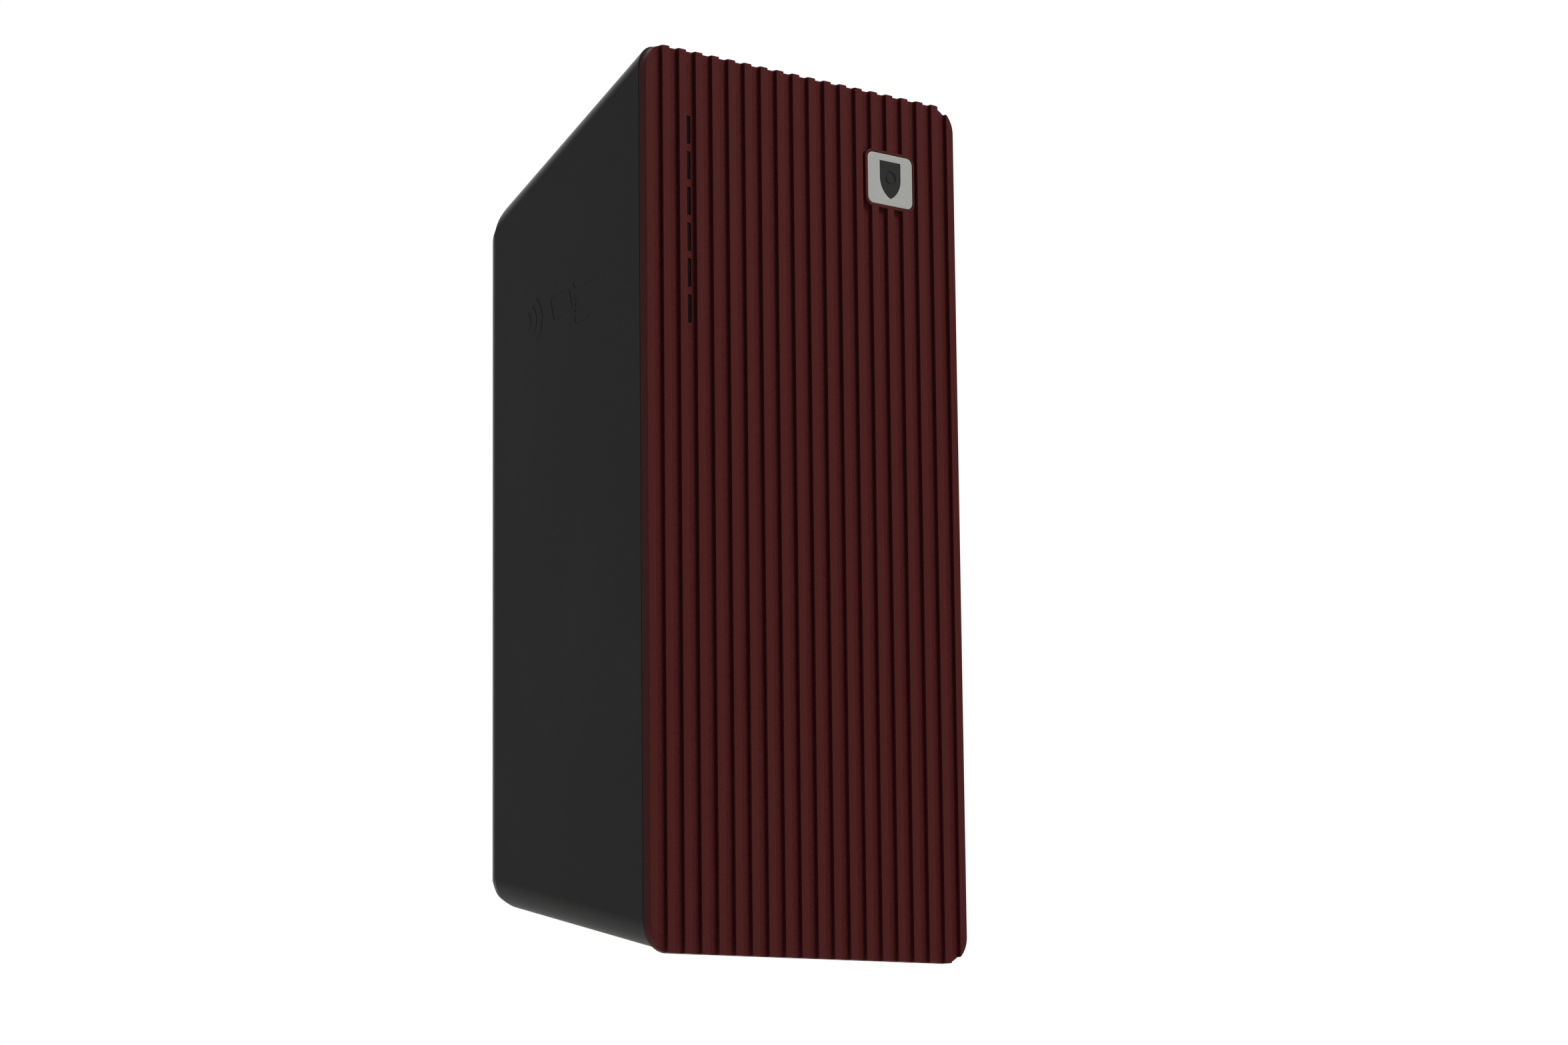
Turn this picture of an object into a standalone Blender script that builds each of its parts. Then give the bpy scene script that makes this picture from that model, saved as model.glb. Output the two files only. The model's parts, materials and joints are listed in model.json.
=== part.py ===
"""Wall-hung security gateway (firewall appliance), modelled as an assembly of its pieces.

Metres, +Z up, the front faces -Y. The origin is the centre of the wall bracket's back face,
so the wall is the plane Y = 0. A ribbed front cover closes a tapered rear housing. The
network and power sockets face down in a bay in the underside.
"""

import math

import bmesh
import bpy
from mathutils import Matrix, Vector

# Driving dimensions
GAP = 0.0003  # clearance between pieces that touch
RIBS = 20
RIB_PITCH = 0.0094
RIB_WIDTH = 0.0042
RIB_DEPTH = 0.0023
COVER_HEIGHT = 0.390
COVER_THICKNESS = 0.0046
COVER_BOTTOM = -0.178
CORNER = 0.012  # corner radius of the cover and of the housing's lower long edges
TOP_CORNER = 0.009  # radius of the housing's upper long edges
DEPTH = 0.112  # from the wall to the tops of the ribs
TOP_SLOPE = 0.543  # fall of the top for each metre towards the wall
BASE_SLOPE = 0.235  # rise of the underside for each metre towards the wall
BASE_STEP = 0.0013  # the underside starts this far above the cover's lower edge
REAR_TOP_BEVEL = 0.0190
REAR_BASE_BEVEL = 0.0087
REAR_SIDE_BEVEL = 0.006
WALL = 0.0028
LIFT = 0.007  # how far the appliance lifts to come off its hooks
PRESS = 0.0012  # travel of the reset button
ROCK = math.radians(10)  # tilt of the power switch each side of level

# Worked out from them
HALF = ((RIBS - 1) * RIB_PITCH + RIB_WIDTH) / 2
COVER_TOP = COVER_BOTTOM + COVER_HEIGHT
FRONT = -DEPTH
SEAM = FRONT + COVER_THICKNESS  # back of the front cover
GROOVE_FLOOR = FRONT + RIB_DEPTH
RIM = SEAM + GAP  # front edge of the housing
REAR = -0.001  # back of the housing
RECESS_FLOOR = REAR - 0.006
REAR_INSIDE = RECESS_FLOOR - WALL
LEDGE = -0.100  # front face of the ledge that the gasket lies on
INNER_HALF = HALF - WALL

# Inner cover, its gasket and what fastens them
SHIELD_HALF = INNER_HALF - 2 * GAP
SHIELD_TOP = 0.204
SHIELD_BOTTOM = -0.1713
SHIELD_FRONT = LEDGE - 0.0033
SHIELD_THICKNESS = 0.0012
SCREW_X = 0.080
SCREW_TOP = 0.195
SCREW_BOTTOM = -0.164
CLIP_X = 0.048
CLIP_TOP = 0.170
CLIP_BOTTOM = -0.140

# Status lights, in the third groove from the left
LIGHTS = 6
LIGHT_LENGTH = 0.0124
LIGHT_WIDTH = 0.0024
LIGHT_PITCH = 0.0158
LIGHT_TOP = COVER_TOP - 0.0286
LIGHT_X = -HALF + 3 * RIB_PITCH - (RIB_PITCH - RIB_WIDTH) / 2

# Badge
BADGE_LEFT = -HALF + 0.1293
BADGE_TOP = COVER_TOP - 0.0279
BADGE_WIDTH = 0.0272
BADGE_HEIGHT = 0.0235
BADGE_RIM = 0.0014
BADGE_RECESS = 0.0018

# Connector bay and main board
PLATE_BASE = -0.135  # underside of the connector plate
PLATE_TOP = PLATE_BASE + 0.0012
BAY_FRONT = -0.0715
BOARD_FRONT = -0.020
BOARD_THICKNESS = 0.0016
BOARD_HALF = 0.080
BOARD_BOTTOM = -0.132
BOARD_TOP = 0.030
SOCKET_BASE = PLATE_BASE - 0.001
HOOK_X = 0.045
HOOK_Z = 0.060
ROCKER_PIVOT = Vector((0.030, -0.050, -0.1335))
RESET_AXIS = Vector((-0.020, -0.050, 0))
EARTH_AXIS = Vector((0.004, -0.050, 0))
INLET_AXIS = Vector((0.062, -0.050, 0))
FAN_CENTRE = Vector((INNER_HALF - 0.0078, -0.055, -0.015))
READER_CENTRE = Vector((-INNER_HALF, FRONT + 0.060, COVER_TOP - 0.107))
WINDOW_MARGIN = 0.0004  # room round a socket in the connector plate
BEYOND = 0.01  # how far a cutter reaches past what it cuts
FACING_FRONT = (math.pi / 2, 0, 0)
FACING_DOWN = (math.pi, 0, 0)

for old in list(bpy.data.objects):
    bpy.data.objects.remove(old, do_unlink=True)

PARTS = bpy.data.collections.new("security_gateway")
TOOLS = bpy.data.collections.new("cutters_and_joins")
for group in (PARTS, TOOLS):
    bpy.context.scene.collection.children.link(group)


def finish(name, colour, roughness, metallic=0.0):
    material = bpy.data.materials.new(name)
    material.use_nodes = True
    shader = material.node_tree.nodes["Principled BSDF"]
    shader.inputs["Base Color"].default_value = (*colour, 1.0)
    shader.inputs["Roughness"].default_value = roughness
    shader.inputs["Metallic"].default_value = metallic
    return material


RED_COAT = finish("wine_red_coat", (0.064, 0.014, 0.014), 0.5)
CHARCOAL = finish("charcoal_plastic", (0.023, 0.023, 0.023), 0.6)
RUBBER = finish("black_rubber", (0.012, 0.012, 0.012), 0.8)
STEEL = finish("zinc_plated_steel", (0.55, 0.56, 0.58), 0.35, 1.0)
SATIN = finish("satin_aluminium", (0.40, 0.41, 0.38), 0.4, 0.9)
BOARD = finish("green_laminate", (0.010, 0.085, 0.040), 0.5)
CHIP = finish("black_epoxy", (0.015, 0.015, 0.017), 0.5)
BLACK = finish("black_plastic", (0.010, 0.010, 0.011), 0.45)
CLEAR = finish("smoked_acrylic", (0.050, 0.050, 0.055), 0.15)
ALUMINIUM = finish("black_anodised_aluminium", (0.030, 0.030, 0.032), 0.4, 0.6)
INK = finish("dark_inlay", (0.030, 0.030, 0.030), 0.4)
CABLE = finish("cable_jacket", (0.020, 0.020, 0.022), 0.6)


def mesh_of(bm, name):
    bmesh.ops.recalc_face_normals(bm, faces=bm.faces)
    mesh = bpy.data.meshes.new(name)
    bm.to_mesh(mesh)
    bm.free()
    return mesh


def add_box(bm, low, high):
    """Adds a box between two corners, and returns its vertices."""
    low = Vector(low)
    high = Vector(high)
    verts = bmesh.ops.create_cube(bm, size=1.0)["verts"]
    bmesh.ops.scale(bm, vec=high - low, verts=verts)
    bmesh.ops.translate(bm, vec=(high + low) / 2, verts=verts)
    return verts


def boxes(name, *corners):
    """One mesh holding a box for each pair of corners."""
    bm = bmesh.new()
    for low, high in corners:
        add_box(bm, low, high)
    return mesh_of(bm, name)


def slab(name, low, high, axis, radius, segments=4):
    """A box whose four edges along one axis are rounded."""
    bm = bmesh.new()
    add_box(bm, low, high)
    along = Vector((axis == "X", axis == "Y", axis == "Z"))
    edges = [e for e in bm.edges if abs((e.verts[1].co - e.verts[0].co).normalized().dot(along)) > 0.9]
    bmesh.ops.bevel(bm, geom=edges, offset=radius, segments=segments, profile=0.5, affect="EDGES")
    return mesh_of(bm, name)


def rods(name, segments, *spans):
    """One mesh holding a cylinder for each (start, end, radius)."""
    bm = bmesh.new()
    for start, end, radius in spans:
        start = Vector(start)
        end = Vector(end)
        turn = Vector((0, 0, 1)).rotation_difference(end - start).to_matrix().to_4x4()
        bmesh.ops.create_cone(
            bm,
            cap_ends=True,
            segments=segments,
            radius1=radius,
            radius2=radius,
            depth=(end - start).length,
            matrix=Matrix.Translation((start + end) / 2) @ turn,
        )
    return mesh_of(bm, name)


def beside(x, half, y, z):
    """Corners of a box centred on x, between two depths and two heights."""
    return (x - half, y[0], z[0]), (x + half, y[1], z[1])


def around(axis, half_x, half_y, z):
    """Corners of an upright box round an axis, between two heights."""
    return (axis.x - half_x, axis.y - half_y, z[0]), (axis.x + half_x, axis.y + half_y, z[1])


def piece(name, mesh, material):
    """A part made of this mesh, with its round sides shaded smooth."""
    obj = bpy.data.objects.new(name, mesh)
    mesh.materials.append(material)
    mesh.shade_smooth()
    mesh.set_sharp_from_angle(angle=math.radians(35))
    PARTS.objects.link(obj)
    return obj


def tool(name, mesh):
    """A helper that cuts or joins, and isn't rendered."""
    obj = bpy.data.objects.new(name, mesh)
    obj.hide_render = True
    obj.display_type = "WIRE"
    TOOLS.objects.link(obj)
    return obj


def combine(obj, other, operation):
    """Joins a mesh or a helper to a piece (UNION), or cuts it away (DIFFERENCE)."""
    if isinstance(other, bpy.types.Mesh):
        other = tool(f"{obj.name}_{len(obj.modifiers)}", other)
    modifier = obj.modifiers.new(other.name, "BOOLEAN")
    modifier.object = other
    modifier.operation = operation


def cut(obj, other):
    combine(obj, other, "DIFFERENCE")


def join(obj, other):
    combine(obj, other, "UNION")


def turned(name, profile, material, place, turn, closed=False, steps=12):
    """A profile of (radius, height) turned about its own Z axis, then turned and placed."""
    mesh = bpy.data.meshes.new(name)
    ends = [(i, i + 1) for i in range(len(profile) - 1)]
    if closed:
        ends.append((len(profile) - 1, 0))
    mesh.from_pydata([(radius, 0, height) for radius, height in profile], ends, [])
    obj = piece(name, mesh, material)
    screw = obj.modifiers.new("turn", "SCREW")
    screw.steps = steps
    screw.render_steps = steps
    screw.use_merge_vertices = True
    screw.merge_threshold = 0.0001
    obj.location = place
    obj.rotation_euler = turn
    return obj


def outline(name, points, thickness, material, place, turn):
    """A flat outline in its own XY plane, given a thickness, then turned and placed as a mesh."""
    curve = bpy.data.curves.new(name, "CURVE")
    curve.dimensions = "2D"
    curve.fill_mode = "BOTH"
    curve.extrude = thickness / 2
    spline = curve.splines.new("POLY")
    spline.points.add(len(points) - 1)
    for point, (x, y) in zip(spline.points, points):
        point.co = (x, y, 0, 1)
    spline.use_cyclic_u = True
    guide = bpy.data.objects.new(name + "_outline", curve)
    PARTS.objects.link(guide)
    guide.location = place
    guide.rotation_euler = turn
    bpy.context.view_layer.update()
    graph = bpy.context.evaluated_depsgraph_get()
    mesh = bpy.data.meshes.new_from_object(guide.evaluated_get(graph))
    mesh.transform(guide.matrix_world)
    bpy.data.objects.remove(guide, do_unlink=True)
    bm = bmesh.new()
    bm.from_mesh(mesh)
    bmesh.ops.remove_doubles(bm, verts=bm.verts, dist=0.00001)
    bmesh.ops.recalc_face_normals(bm, faces=bm.faces)
    bm.to_mesh(mesh)
    bm.free()
    mesh.materials.clear()
    return piece(name, mesh, material)


def lead(name, route, radius):
    """A cable through a few points, along a smooth curve read at short steps."""
    points = [Vector(route[0])] + [Vector(p) for p in route] + [Vector(route[-1])]
    smooth = []
    steps = 5
    for before, start, end, after in zip(points, points[1:], points[2:], points[3:]):
        for i in range(steps):
            t = i / steps
            smooth.append(
                0.5
                * (
                    2 * start
                    + (end - before) * t
                    + (2 * before - 5 * start + 4 * end - after) * t**2
                    + (3 * start - before - 3 * end + after) * t**3
                )
            )
    smooth.append(points[-1])
    curve = bpy.data.curves.new(name, "CURVE")
    curve.dimensions = "3D"
    curve.bevel_depth = radius
    curve.bevel_resolution = 1
    curve.use_fill_caps = True
    spline = curve.splines.new("POLY")
    spline.points.add(len(smooth) - 1)
    for point, place in zip(spline.points, smooth):
        point.co = (*place, 1)
    obj = bpy.data.objects.new(name, curve)
    curve.materials.append(CABLE)
    PARTS.objects.link(obj)
    return obj


def arc(centre, radius, start, end, steps):
    """Points along an arc, with angles in degrees."""
    angles = [math.radians(start + (end - start) * i / steps) for i in range(steps + 1)]
    return [(centre[0] + radius * math.cos(a), centre[1] + radius * math.sin(a)) for a in angles]


def top_at(y):
    return COVER_TOP - TOP_SLOPE * (y - SEAM)


def base_at(y):
    return COVER_BOTTOM + BASE_STEP + BASE_SLOPE * (y - SEAM)


def tapered_block(obj, front, rear, inset):
    """Fills the object with the housing's wedge, pulled in by the inset, and rounds its edges."""
    bm = bmesh.new()
    half = HALF - inset
    for vert in bmesh.ops.create_cube(bm, size=1.0)["verts"]:
        y = front if vert.co.y < 0 else rear
        if vert.co.z > 0:
            z = top_at(y) - inset * math.hypot(1, TOP_SLOPE)
        else:
            z = base_at(y) + inset * math.hypot(1, BASE_SLOPE)
        vert.co = (math.copysign(half, vert.co.x), y, z)
    weights = bm.edges.layers.float.new("bevel_weight_edge")
    for edge in bm.edges:
        one, two = (vert.co for vert in edge.verts)
        if abs(one.y - two.y) > 0.001:
            width = TOP_CORNER if one.z > 0 else CORNER
        elif one.y < REAR - DEPTH / 2:
            width = 0.0
        elif abs(one.z - two.z) > 0.001:
            width = REAR_SIDE_BEVEL
        elif one.z > 0:
            width = REAR_TOP_BEVEL
        else:
            width = REAR_BASE_BEVEL
        edge[weights] = max(width - inset, 0.0) / REAR_TOP_BEVEL
    bm.to_mesh(obj.data)
    bm.free()
    bevel = obj.modifiers.new("rounding", "BEVEL")
    bevel.width = REAR_TOP_BEVEL
    bevel.segments = 4
    bevel.limit_method = "WEIGHT"


def frame_tool(name, low, high, border, radius):
    """A rounded frame lying in the XZ plane, used to join."""
    frame = tool(name, slab(name, low, high, "Y", radius))
    inner_low = (low[0] + border, low[1] - 0.01, low[2] + border)
    inner_high = (high[0] - border, high[1] + 0.01, high[2] - border)
    cut(frame, slab(name + "_hole", inner_low, inner_high, "Y", max(radius - border, 0.002)))
    return frame


def make_wall_bracket():
    half = Vector((0.062, 0, 0.090))
    plate = slab("wall_bracket", (-half.x, -0.002, -half.z), (half.x, 0, half.z), "Y", 0.008)
    bracket = piece("wall_bracket", plate, STEEL)
    lip = REAR_INSIDE - 0.0004
    for x in (-HOOK_X, HOOK_X):
        for z in (-HOOK_Z, HOOK_Z):
            stem = ((x - 0.005, lip - 0.0024, z - 0.0015), (x + 0.005, -0.001, z + 0.0015))
            tip = ((x - 0.005, lip - 0.0024, z), (x + 0.005, lip, z + 0.0075))
            join(bracket, boxes("hook_stem", stem))
            join(bracket, boxes("hook_tip", tip))
    holes = [((x, -0.01, z), (x, 0.01, z), 0.00275) for x in (-0.035, 0.035) for z in (-0.078, 0.078)]
    cut(bracket, rods("bracket_holes", 16, *holes))
    return bracket


def make_rear_housing():
    mesh = bpy.data.meshes.new("rear_housing")
    housing = piece("rear_housing", mesh, CHARCOAL)
    tapered_block(housing, RIM, REAR, 0.0)
    cavity = tool("housing_cavity", bpy.data.meshes.new("housing_cavity"))
    tapered_block(cavity, RIM - 0.001, REAR_INSIDE, WALL)
    cut(housing, cavity)
    recess = slab("recess", (-0.070, RECESS_FLOOR, -0.105), (0.070, 0.01, 0.105), "Y", 0.010)
    cut(housing, recess)
    slots = []
    for x in (-HOOK_X, HOOK_X):
        for z in (-HOOK_Z, HOOK_Z):
            heights = (z - 0.0015 - LIFT - 0.0005, z + 0.0018)
            slots.append(beside(x, 0.0062, (REAR_INSIDE - BEYOND, 0.0), heights))
    cut(housing, boxes("hook_slots", *slots))

    edge = INNER_HALF + 0.001
    ledge = frame_tool("ledge", (-edge, LEDGE, -0.1735), (edge, LEDGE + 0.0025, 0.2058), 0.006, 0.010)
    join(housing, ledge)
    for side in (-1, 1):
        for heights in ((0.189, 0.200), (-0.170, -0.158)):
            boss = beside(side * SCREW_X, 0.006, (LEDGE + 0.001, -0.092), heights)
            join(housing, boxes("cover_boss", boss))
    wall_y = (BAY_FRONT - WALL, BAY_FRONT)
    join(housing, slab("bay_wall", (-edge, wall_y[0], -0.1672), (edge, wall_y[1], -0.134), "Y", 0.010))
    join(housing, boxes("bay_wall_top", beside(0, edge, wall_y, (-0.156, -0.131))))
    bosses = [((x, REAR_INSIDE + 0.001, z), (x, -0.0181, z), 0.004) for x, z in board_screw_places()]
    join(housing, rods("board_bosses", 16, *bosses))

    cut(housing, slab("bay_mouth", (-0.080, -0.070, -0.190), (0.080, -0.014, -0.150), "Z", 0.005))
    pilots = [((x, LEDGE - BEYOND, z), (x, -0.085, z), 0.0018) for x, z in cover_screw_places()]
    pilots += [((x, -0.011, z), (x, -0.03, z), 0.0016) for x, z in board_screw_places()]
    cut(housing, rods("screw_holes", 10, *pilots))
    vents = []
    for i in range(6):
        y = FAN_CENTRE.y + (i - 2.5) * 0.0078
        vents.append(((HALF - 0.006, y - 0.0017, FAN_CENTRE.z - 0.020), (HALF + BEYOND, y + 0.0017, 0.005)))
    for i in range(9):
        x = (i - 4) * 0.017
        vents.append(beside(x, 0.0055, (-0.0905, -0.0875), (-0.190, -0.160)))
        vents.append(beside(x, 0.0055, (-0.0835, -0.0805), (-0.190, -0.160)))
    cut(housing, boxes("vents", *vents))
    return housing


def cover_screw_places():
    return [(x, z) for x in (-SCREW_X, SCREW_X) for z in (SCREW_BOTTOM, SCREW_TOP)]


def board_screw_places():
    return [(x, z) for x in (-0.076, 0.076) for z in (-0.090, 0.024)]


def clip_places():
    return [(x, z) for x in (-CLIP_X, CLIP_X) for z in (CLIP_BOTTOM, CLIP_TOP)]


def screw_profile(head, height, shank, length):
    return [
        (0, height),
        (head * 0.6, height),
        (head, height * 0.45),
        (head, 0),
        (shank, 0),
        (shank, -length),
        (0, -length - shank * 0.6),
    ]


def make_gasket():
    low = (-SHIELD_HALF, LEDGE - GAP - 0.0015, SHIELD_BOTTOM)
    high = (SHIELD_HALF, LEDGE - GAP, SHIELD_TOP)
    gasket = piece("housing_gasket", slab("housing_gasket", low, high, "Y", 0.009), RUBBER)
    hole = slab("gasket_hole", (-0.084, -0.11, low[2] + 0.004), (0.084, -0.09, high[2] - 0.004), "Y", 0.006)
    cut(gasket, hole)
    return gasket


def make_inner_cover():
    low = (-SHIELD_HALF, SHIELD_FRONT, SHIELD_BOTTOM)
    high = (SHIELD_HALF, SHIELD_FRONT + SHIELD_THICKNESS, SHIELD_TOP)
    cover = piece("inner_cover", slab("inner_cover", low, high, "Y", 0.009), STEEL)
    through = (SHIELD_FRONT - BEYOND, SHIELD_FRONT + BEYOND)
    holes = [((x, through[0], z), (x, through[1], z), 0.0019) for x, z in cover_screw_places()]
    holes += [((x, through[0], z), (x, through[1], z), 0.0056) for x, z in clip_places()]
    cut(cover, rods("inner_cover_holes", 16, *holes))
    low, high = beside(LIGHT_X, 0.004, through, (0.070, 0.082))
    cut(cover, slab("lead_hole", low, high, "Y", 0.003))
    return cover


def make_cover_fasteners():
    made = []
    for i, (x, z) in enumerate(cover_screw_places(), 1):
        place = (x, SHIELD_FRONT - GAP, z)
        profile = screw_profile(0.0028, 0.0020, 0.0015, 0.009)
        made.append(turned(f"cover_screw_{i}", profile, STEEL, place, FACING_FRONT, steps=10))
    bush = [(0.0034, 0.001), (0.007, 0.001), (0.007, 0), (0.0052, 0), (0.0052, -0.0062), (0.0034, -0.0062)]
    for i, (x, z) in enumerate(clip_places(), 1):
        place = (x, SHIELD_FRONT - GAP, z)
        made.append(turned(f"cover_clip_{i}", bush, BLACK, place, FACING_FRONT, closed=True, steps=16))
    return made


def make_front_cover():
    shape = slab("front_cover", (-HALF, FRONT, COVER_BOTTOM), (HALF, SEAM, COVER_TOP), "Y", CORNER, 6)
    cover = piece("front_cover", shape, RED_COAT)
    grooves = []
    for i in range(RIBS - 1):
        left = -HALF + i * RIB_PITCH + RIB_WIDTH
        right = -HALF + (i + 1) * RIB_PITCH
        low = (left, FRONT - BEYOND, COVER_BOTTOM - BEYOND)
        grooves.append((low, (right, GROOVE_FLOOR, COVER_TOP + BEYOND)))
    cut(cover, boxes("grooves", *grooves))
    low, high = badge_box(BADGE_RIM)
    pad = slab("badge_pad", (low[0], FRONT, low[1]), (high[0], GROOVE_FLOOR + 0.001, high[1]), "Y", 0.0045)
    join(cover, pad)
    low, high = badge_box(GAP)
    pocket_low = (low[0], FRONT - BEYOND, low[1])
    pocket_high = (high[0], FRONT + BADGE_RECESS, high[1])
    cut(cover, slab("badge_pocket", pocket_low, pocket_high, "Y", 0.0034))
    slots = []
    for low, high in light_spans(0.0):
        slots.append(((low[0], FRONT - BEYOND, low[1]), (high[0], SEAM + BEYOND, high[1])))
    cut(cover, boxes("light_slots", *slots))
    studs = [((x, SEAM - 0.001, z), (x, SHIELD_FRONT + 0.005, z), 0.003) for x, z in clip_places()]
    join(cover, rods("cover_studs", 16, *studs))
    return cover


def badge_box(margin):
    """Lower-left and upper-right corners (x, z) of the badge, grown by a margin."""
    low = (BADGE_LEFT - margin, BADGE_TOP - BADGE_HEIGHT - margin)
    high = (BADGE_LEFT + BADGE_WIDTH + margin, BADGE_TOP + margin)
    return low, high


def light_spans(inset):
    """Lower-left and upper-right corners (x, z) of each light slot, drawn in by an inset."""
    half = LIGHT_WIDTH / 2 - inset
    spans = []
    for i in range(LIGHTS):
        top = LIGHT_TOP - i * LIGHT_PITCH
        spans.append(((LIGHT_X - half, top - LIGHT_LENGTH + inset), (LIGHT_X + half, top - inset)))
    return spans


def make_badge():
    low, high = badge_box(0.0)
    back = FRONT + BADGE_RECESS - GAP
    plate = slab("badge_plate", (low[0], FRONT, low[1]), (high[0], back, high[1]), "Y", 0.0032)
    badge = piece("badge_plate", plate, SATIN)
    x = (low[0] + high[0]) / 2
    z = (low[1] + high[1]) / 2
    pocket = outline("emblem_pocket", shield_points(0.0065), 0.0022, INK, (x, FRONT, z), FACING_FRONT)
    cut(badge, tool("emblem_pocket_cut", pocket.data))
    bpy.data.objects.remove(pocket, do_unlink=True)
    place = (x, FRONT + 0.00025, z)
    emblem = outline("badge_emblem", shield_points(0.0062), 0.0005, INK, place, FACING_FRONT)
    return [badge, emblem]


def shield_points(half):
    """A plain heater shield: a flat top and two arcs that meet below."""
    radius = half * 1.6
    shift = half * 0.34  # brings the shield's middle to the badge's
    tip = math.degrees(math.acos(1 - half / radius))
    right = arc((half - radius, shift - half * 0.2), radius, 0, -tip, 8)
    left = [(-x, y) for x, y in reversed(right[:-1])]
    shoulder = shift + half
    return [(half, shoulder)] + right[:-1] + [(0, right[-1][1])] + left + [(-half, shoulder)]


def make_lights():
    back = SHIELD_FRONT - GAP
    strip = boxes("led_board", beside(LIGHT_X, 0.0045, (back - 0.001, back), (0.086, 0.190)))
    board = piece("led_board", strip, BOARD)
    leds = []
    lenses = []
    for low, high in light_spans(GAP):
        middle = (low[1] + high[1]) / 2
        heights = (middle - 0.0018, middle + 0.0018)
        leds.append(beside(LIGHT_X, 0.0014, (back - 0.0016, back - 0.0007), heights))
        lenses.append(((low[0], GROOVE_FLOOR + GAP, low[1]), (high[0], SEAM + 0.001, high[1])))
    join(board, boxes("leds", *leds))
    bar = beside(LIGHT_X, 0.0035, (SEAM + GAP, SEAM + 0.0015), (0.088, 0.188))
    guide = piece("light_guide", boxes("light_guide", bar), CLEAR)
    join(guide, boxes("light_lenses", *lenses))
    return board, guide


def make_connector_plate():
    half = INNER_HALF - WINDOW_MARGIN
    low = BAY_FRONT + WINDOW_MARGIN
    sheet = boxes("connector_plate", beside(0, half, (low, -0.012), (PLATE_BASE, PLATE_TOP)))
    plate = piece("connector_plate", sheet, STEEL)
    flange = beside(0, half, (low, low + 0.0012), (PLATE_BASE + 0.0005, PLATE_BASE + 0.010))
    join(plate, boxes("plate_flange", flange))
    return plate


def plate_depth(margin):
    """Heights between which a cutter passes through the connector plate."""
    return PLATE_BASE - BEYOND, PLATE_TOP + margin


def make_socket(plate, name, left, width, depth, length, mouth, notch=None):
    """A socket that stands on the main board and opens downwards through the connector plate."""
    back = BOARD_FRONT - GAP
    front = back - depth
    shell = ((left, front, SOCKET_BASE), (left + width, back, SOCKET_BASE + length))
    socket = piece(name, boxes(name, shell), SATIN if name == "usb_port" else STEEL)
    middle = Vector((left + width / 2, (front + back) / 2, 0))
    mouth_width, mouth_depth, reach = mouth
    hollow = around(middle, mouth_width / 2, mouth_depth / 2, (SOCKET_BASE - BEYOND, SOCKET_BASE + reach))
    cut(socket, boxes(name + "_mouth", hollow))
    if notch:
        latch = (middle.y - mouth_depth / 2 - 0.0015, middle.y)
        groove = beside(middle.x, notch / 2, latch, (SOCKET_BASE - BEYOND, SOCKET_BASE + reach * 0.6))
        cut(socket, boxes(name + "_latch_notch", groove))
    half_x = width / 2 + WINDOW_MARGIN
    half_y = depth / 2 + WINDOW_MARGIN
    cut(plate, boxes(name + "_window", around(middle, half_x, half_y, plate_depth(0.003))))
    return socket


def make_sockets(plate):
    made = [make_socket(plate, "sfp_cage", -0.070, 0.0144, 0.0098, 0.050, (0.0130, 0.0086, 0.046))]
    names = ["wan_jack", "lan_jack_1", "lan_jack_2", "lan_jack_3"]
    for i, name in enumerate(names):
        left = -0.050 + i * 0.019
        made.append(make_socket(plate, name, left, 0.016, 0.0135, 0.021, (0.0118, 0.0072, 0.013), 0.006))
    made.append(make_socket(plate, "usb_port", 0.032, 0.0142, 0.0068, 0.014, (0.0124, 0.0048, 0.011)))
    return made


def make_power_inlet(plate):
    x, y = INLET_AXIS.x, INLET_AXIS.y
    top = PLATE_BASE + 0.020
    flange_base = PLATE_BASE - 0.0028
    low, high = around(INLET_AXIS, 0.0155, 0.0125, (flange_base, PLATE_BASE - GAP))
    inlet = piece("power_inlet", slab("power_inlet", low, high, "Z", 0.003), BLACK)
    body = around(INLET_AXIS, 0.0135, 0.010, (PLATE_BASE - 0.001, top))
    join(inlet, boxes("inlet_body", body))
    low, high = around(INLET_AXIS, 0.0120, 0.0085, (flange_base - BEYOND, top - 0.003))
    cut(inlet, slab("inlet_mouth", low, high, "Z", 0.003))
    for pin_x, pin_y in ((-0.007, -0.003), (0.007, -0.003), (0, 0.003)):
        axis = Vector((x + pin_x, y + pin_y, 0))
        pin = around(axis, 0.001, 0.002, (flange_base + 0.003, top - 0.001))
        join(inlet, boxes("inlet_pin", pin))
    window = around(INLET_AXIS, 0.0139, 0.0104, plate_depth(0.003))
    cut(plate, boxes("inlet_window", window))
    return inlet


def make_power_switch(plate):
    flange_base = PLATE_BASE - 0.0018
    low, high = around(ROCKER_PIVOT, 0.0115, 0.0080, (flange_base, PLATE_BASE - GAP))
    frame = piece("switch_frame", slab("switch_frame", low, high, "Z", 0.002), BLACK)
    body = around(ROCKER_PIVOT, 0.0100, 0.0066, (PLATE_BASE - 0.001, PLATE_BASE + 0.014))
    join(frame, boxes("switch_body", body))
    well = around(ROCKER_PIVOT, 0.0088, 0.0054, (flange_base - BEYOND, PLATE_BASE + 0.0095))
    cut(frame, boxes("switch_well", well))
    window = around(ROCKER_PIVOT, 0.0104, 0.0070, plate_depth(0.003))
    cut(plate, boxes("switch_window", window))
    reach = 0.0082
    valley = -0.0030
    right = arc((0, 0), reach, -32, 40, 6)
    left = [(-px, py) for px, py in reversed(right)]
    points = right + left + [(0, valley)]
    rocker = outline("power_rocker", points, 0.0100, BLACK, (0, 0, 0), FACING_FRONT)
    rocker.data.transform(Matrix.Rotation(ROCK, 4, "Y"))
    rocker.data.transform(Matrix.Translation(ROCKER_PIVOT))
    return frame, rocker


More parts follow.
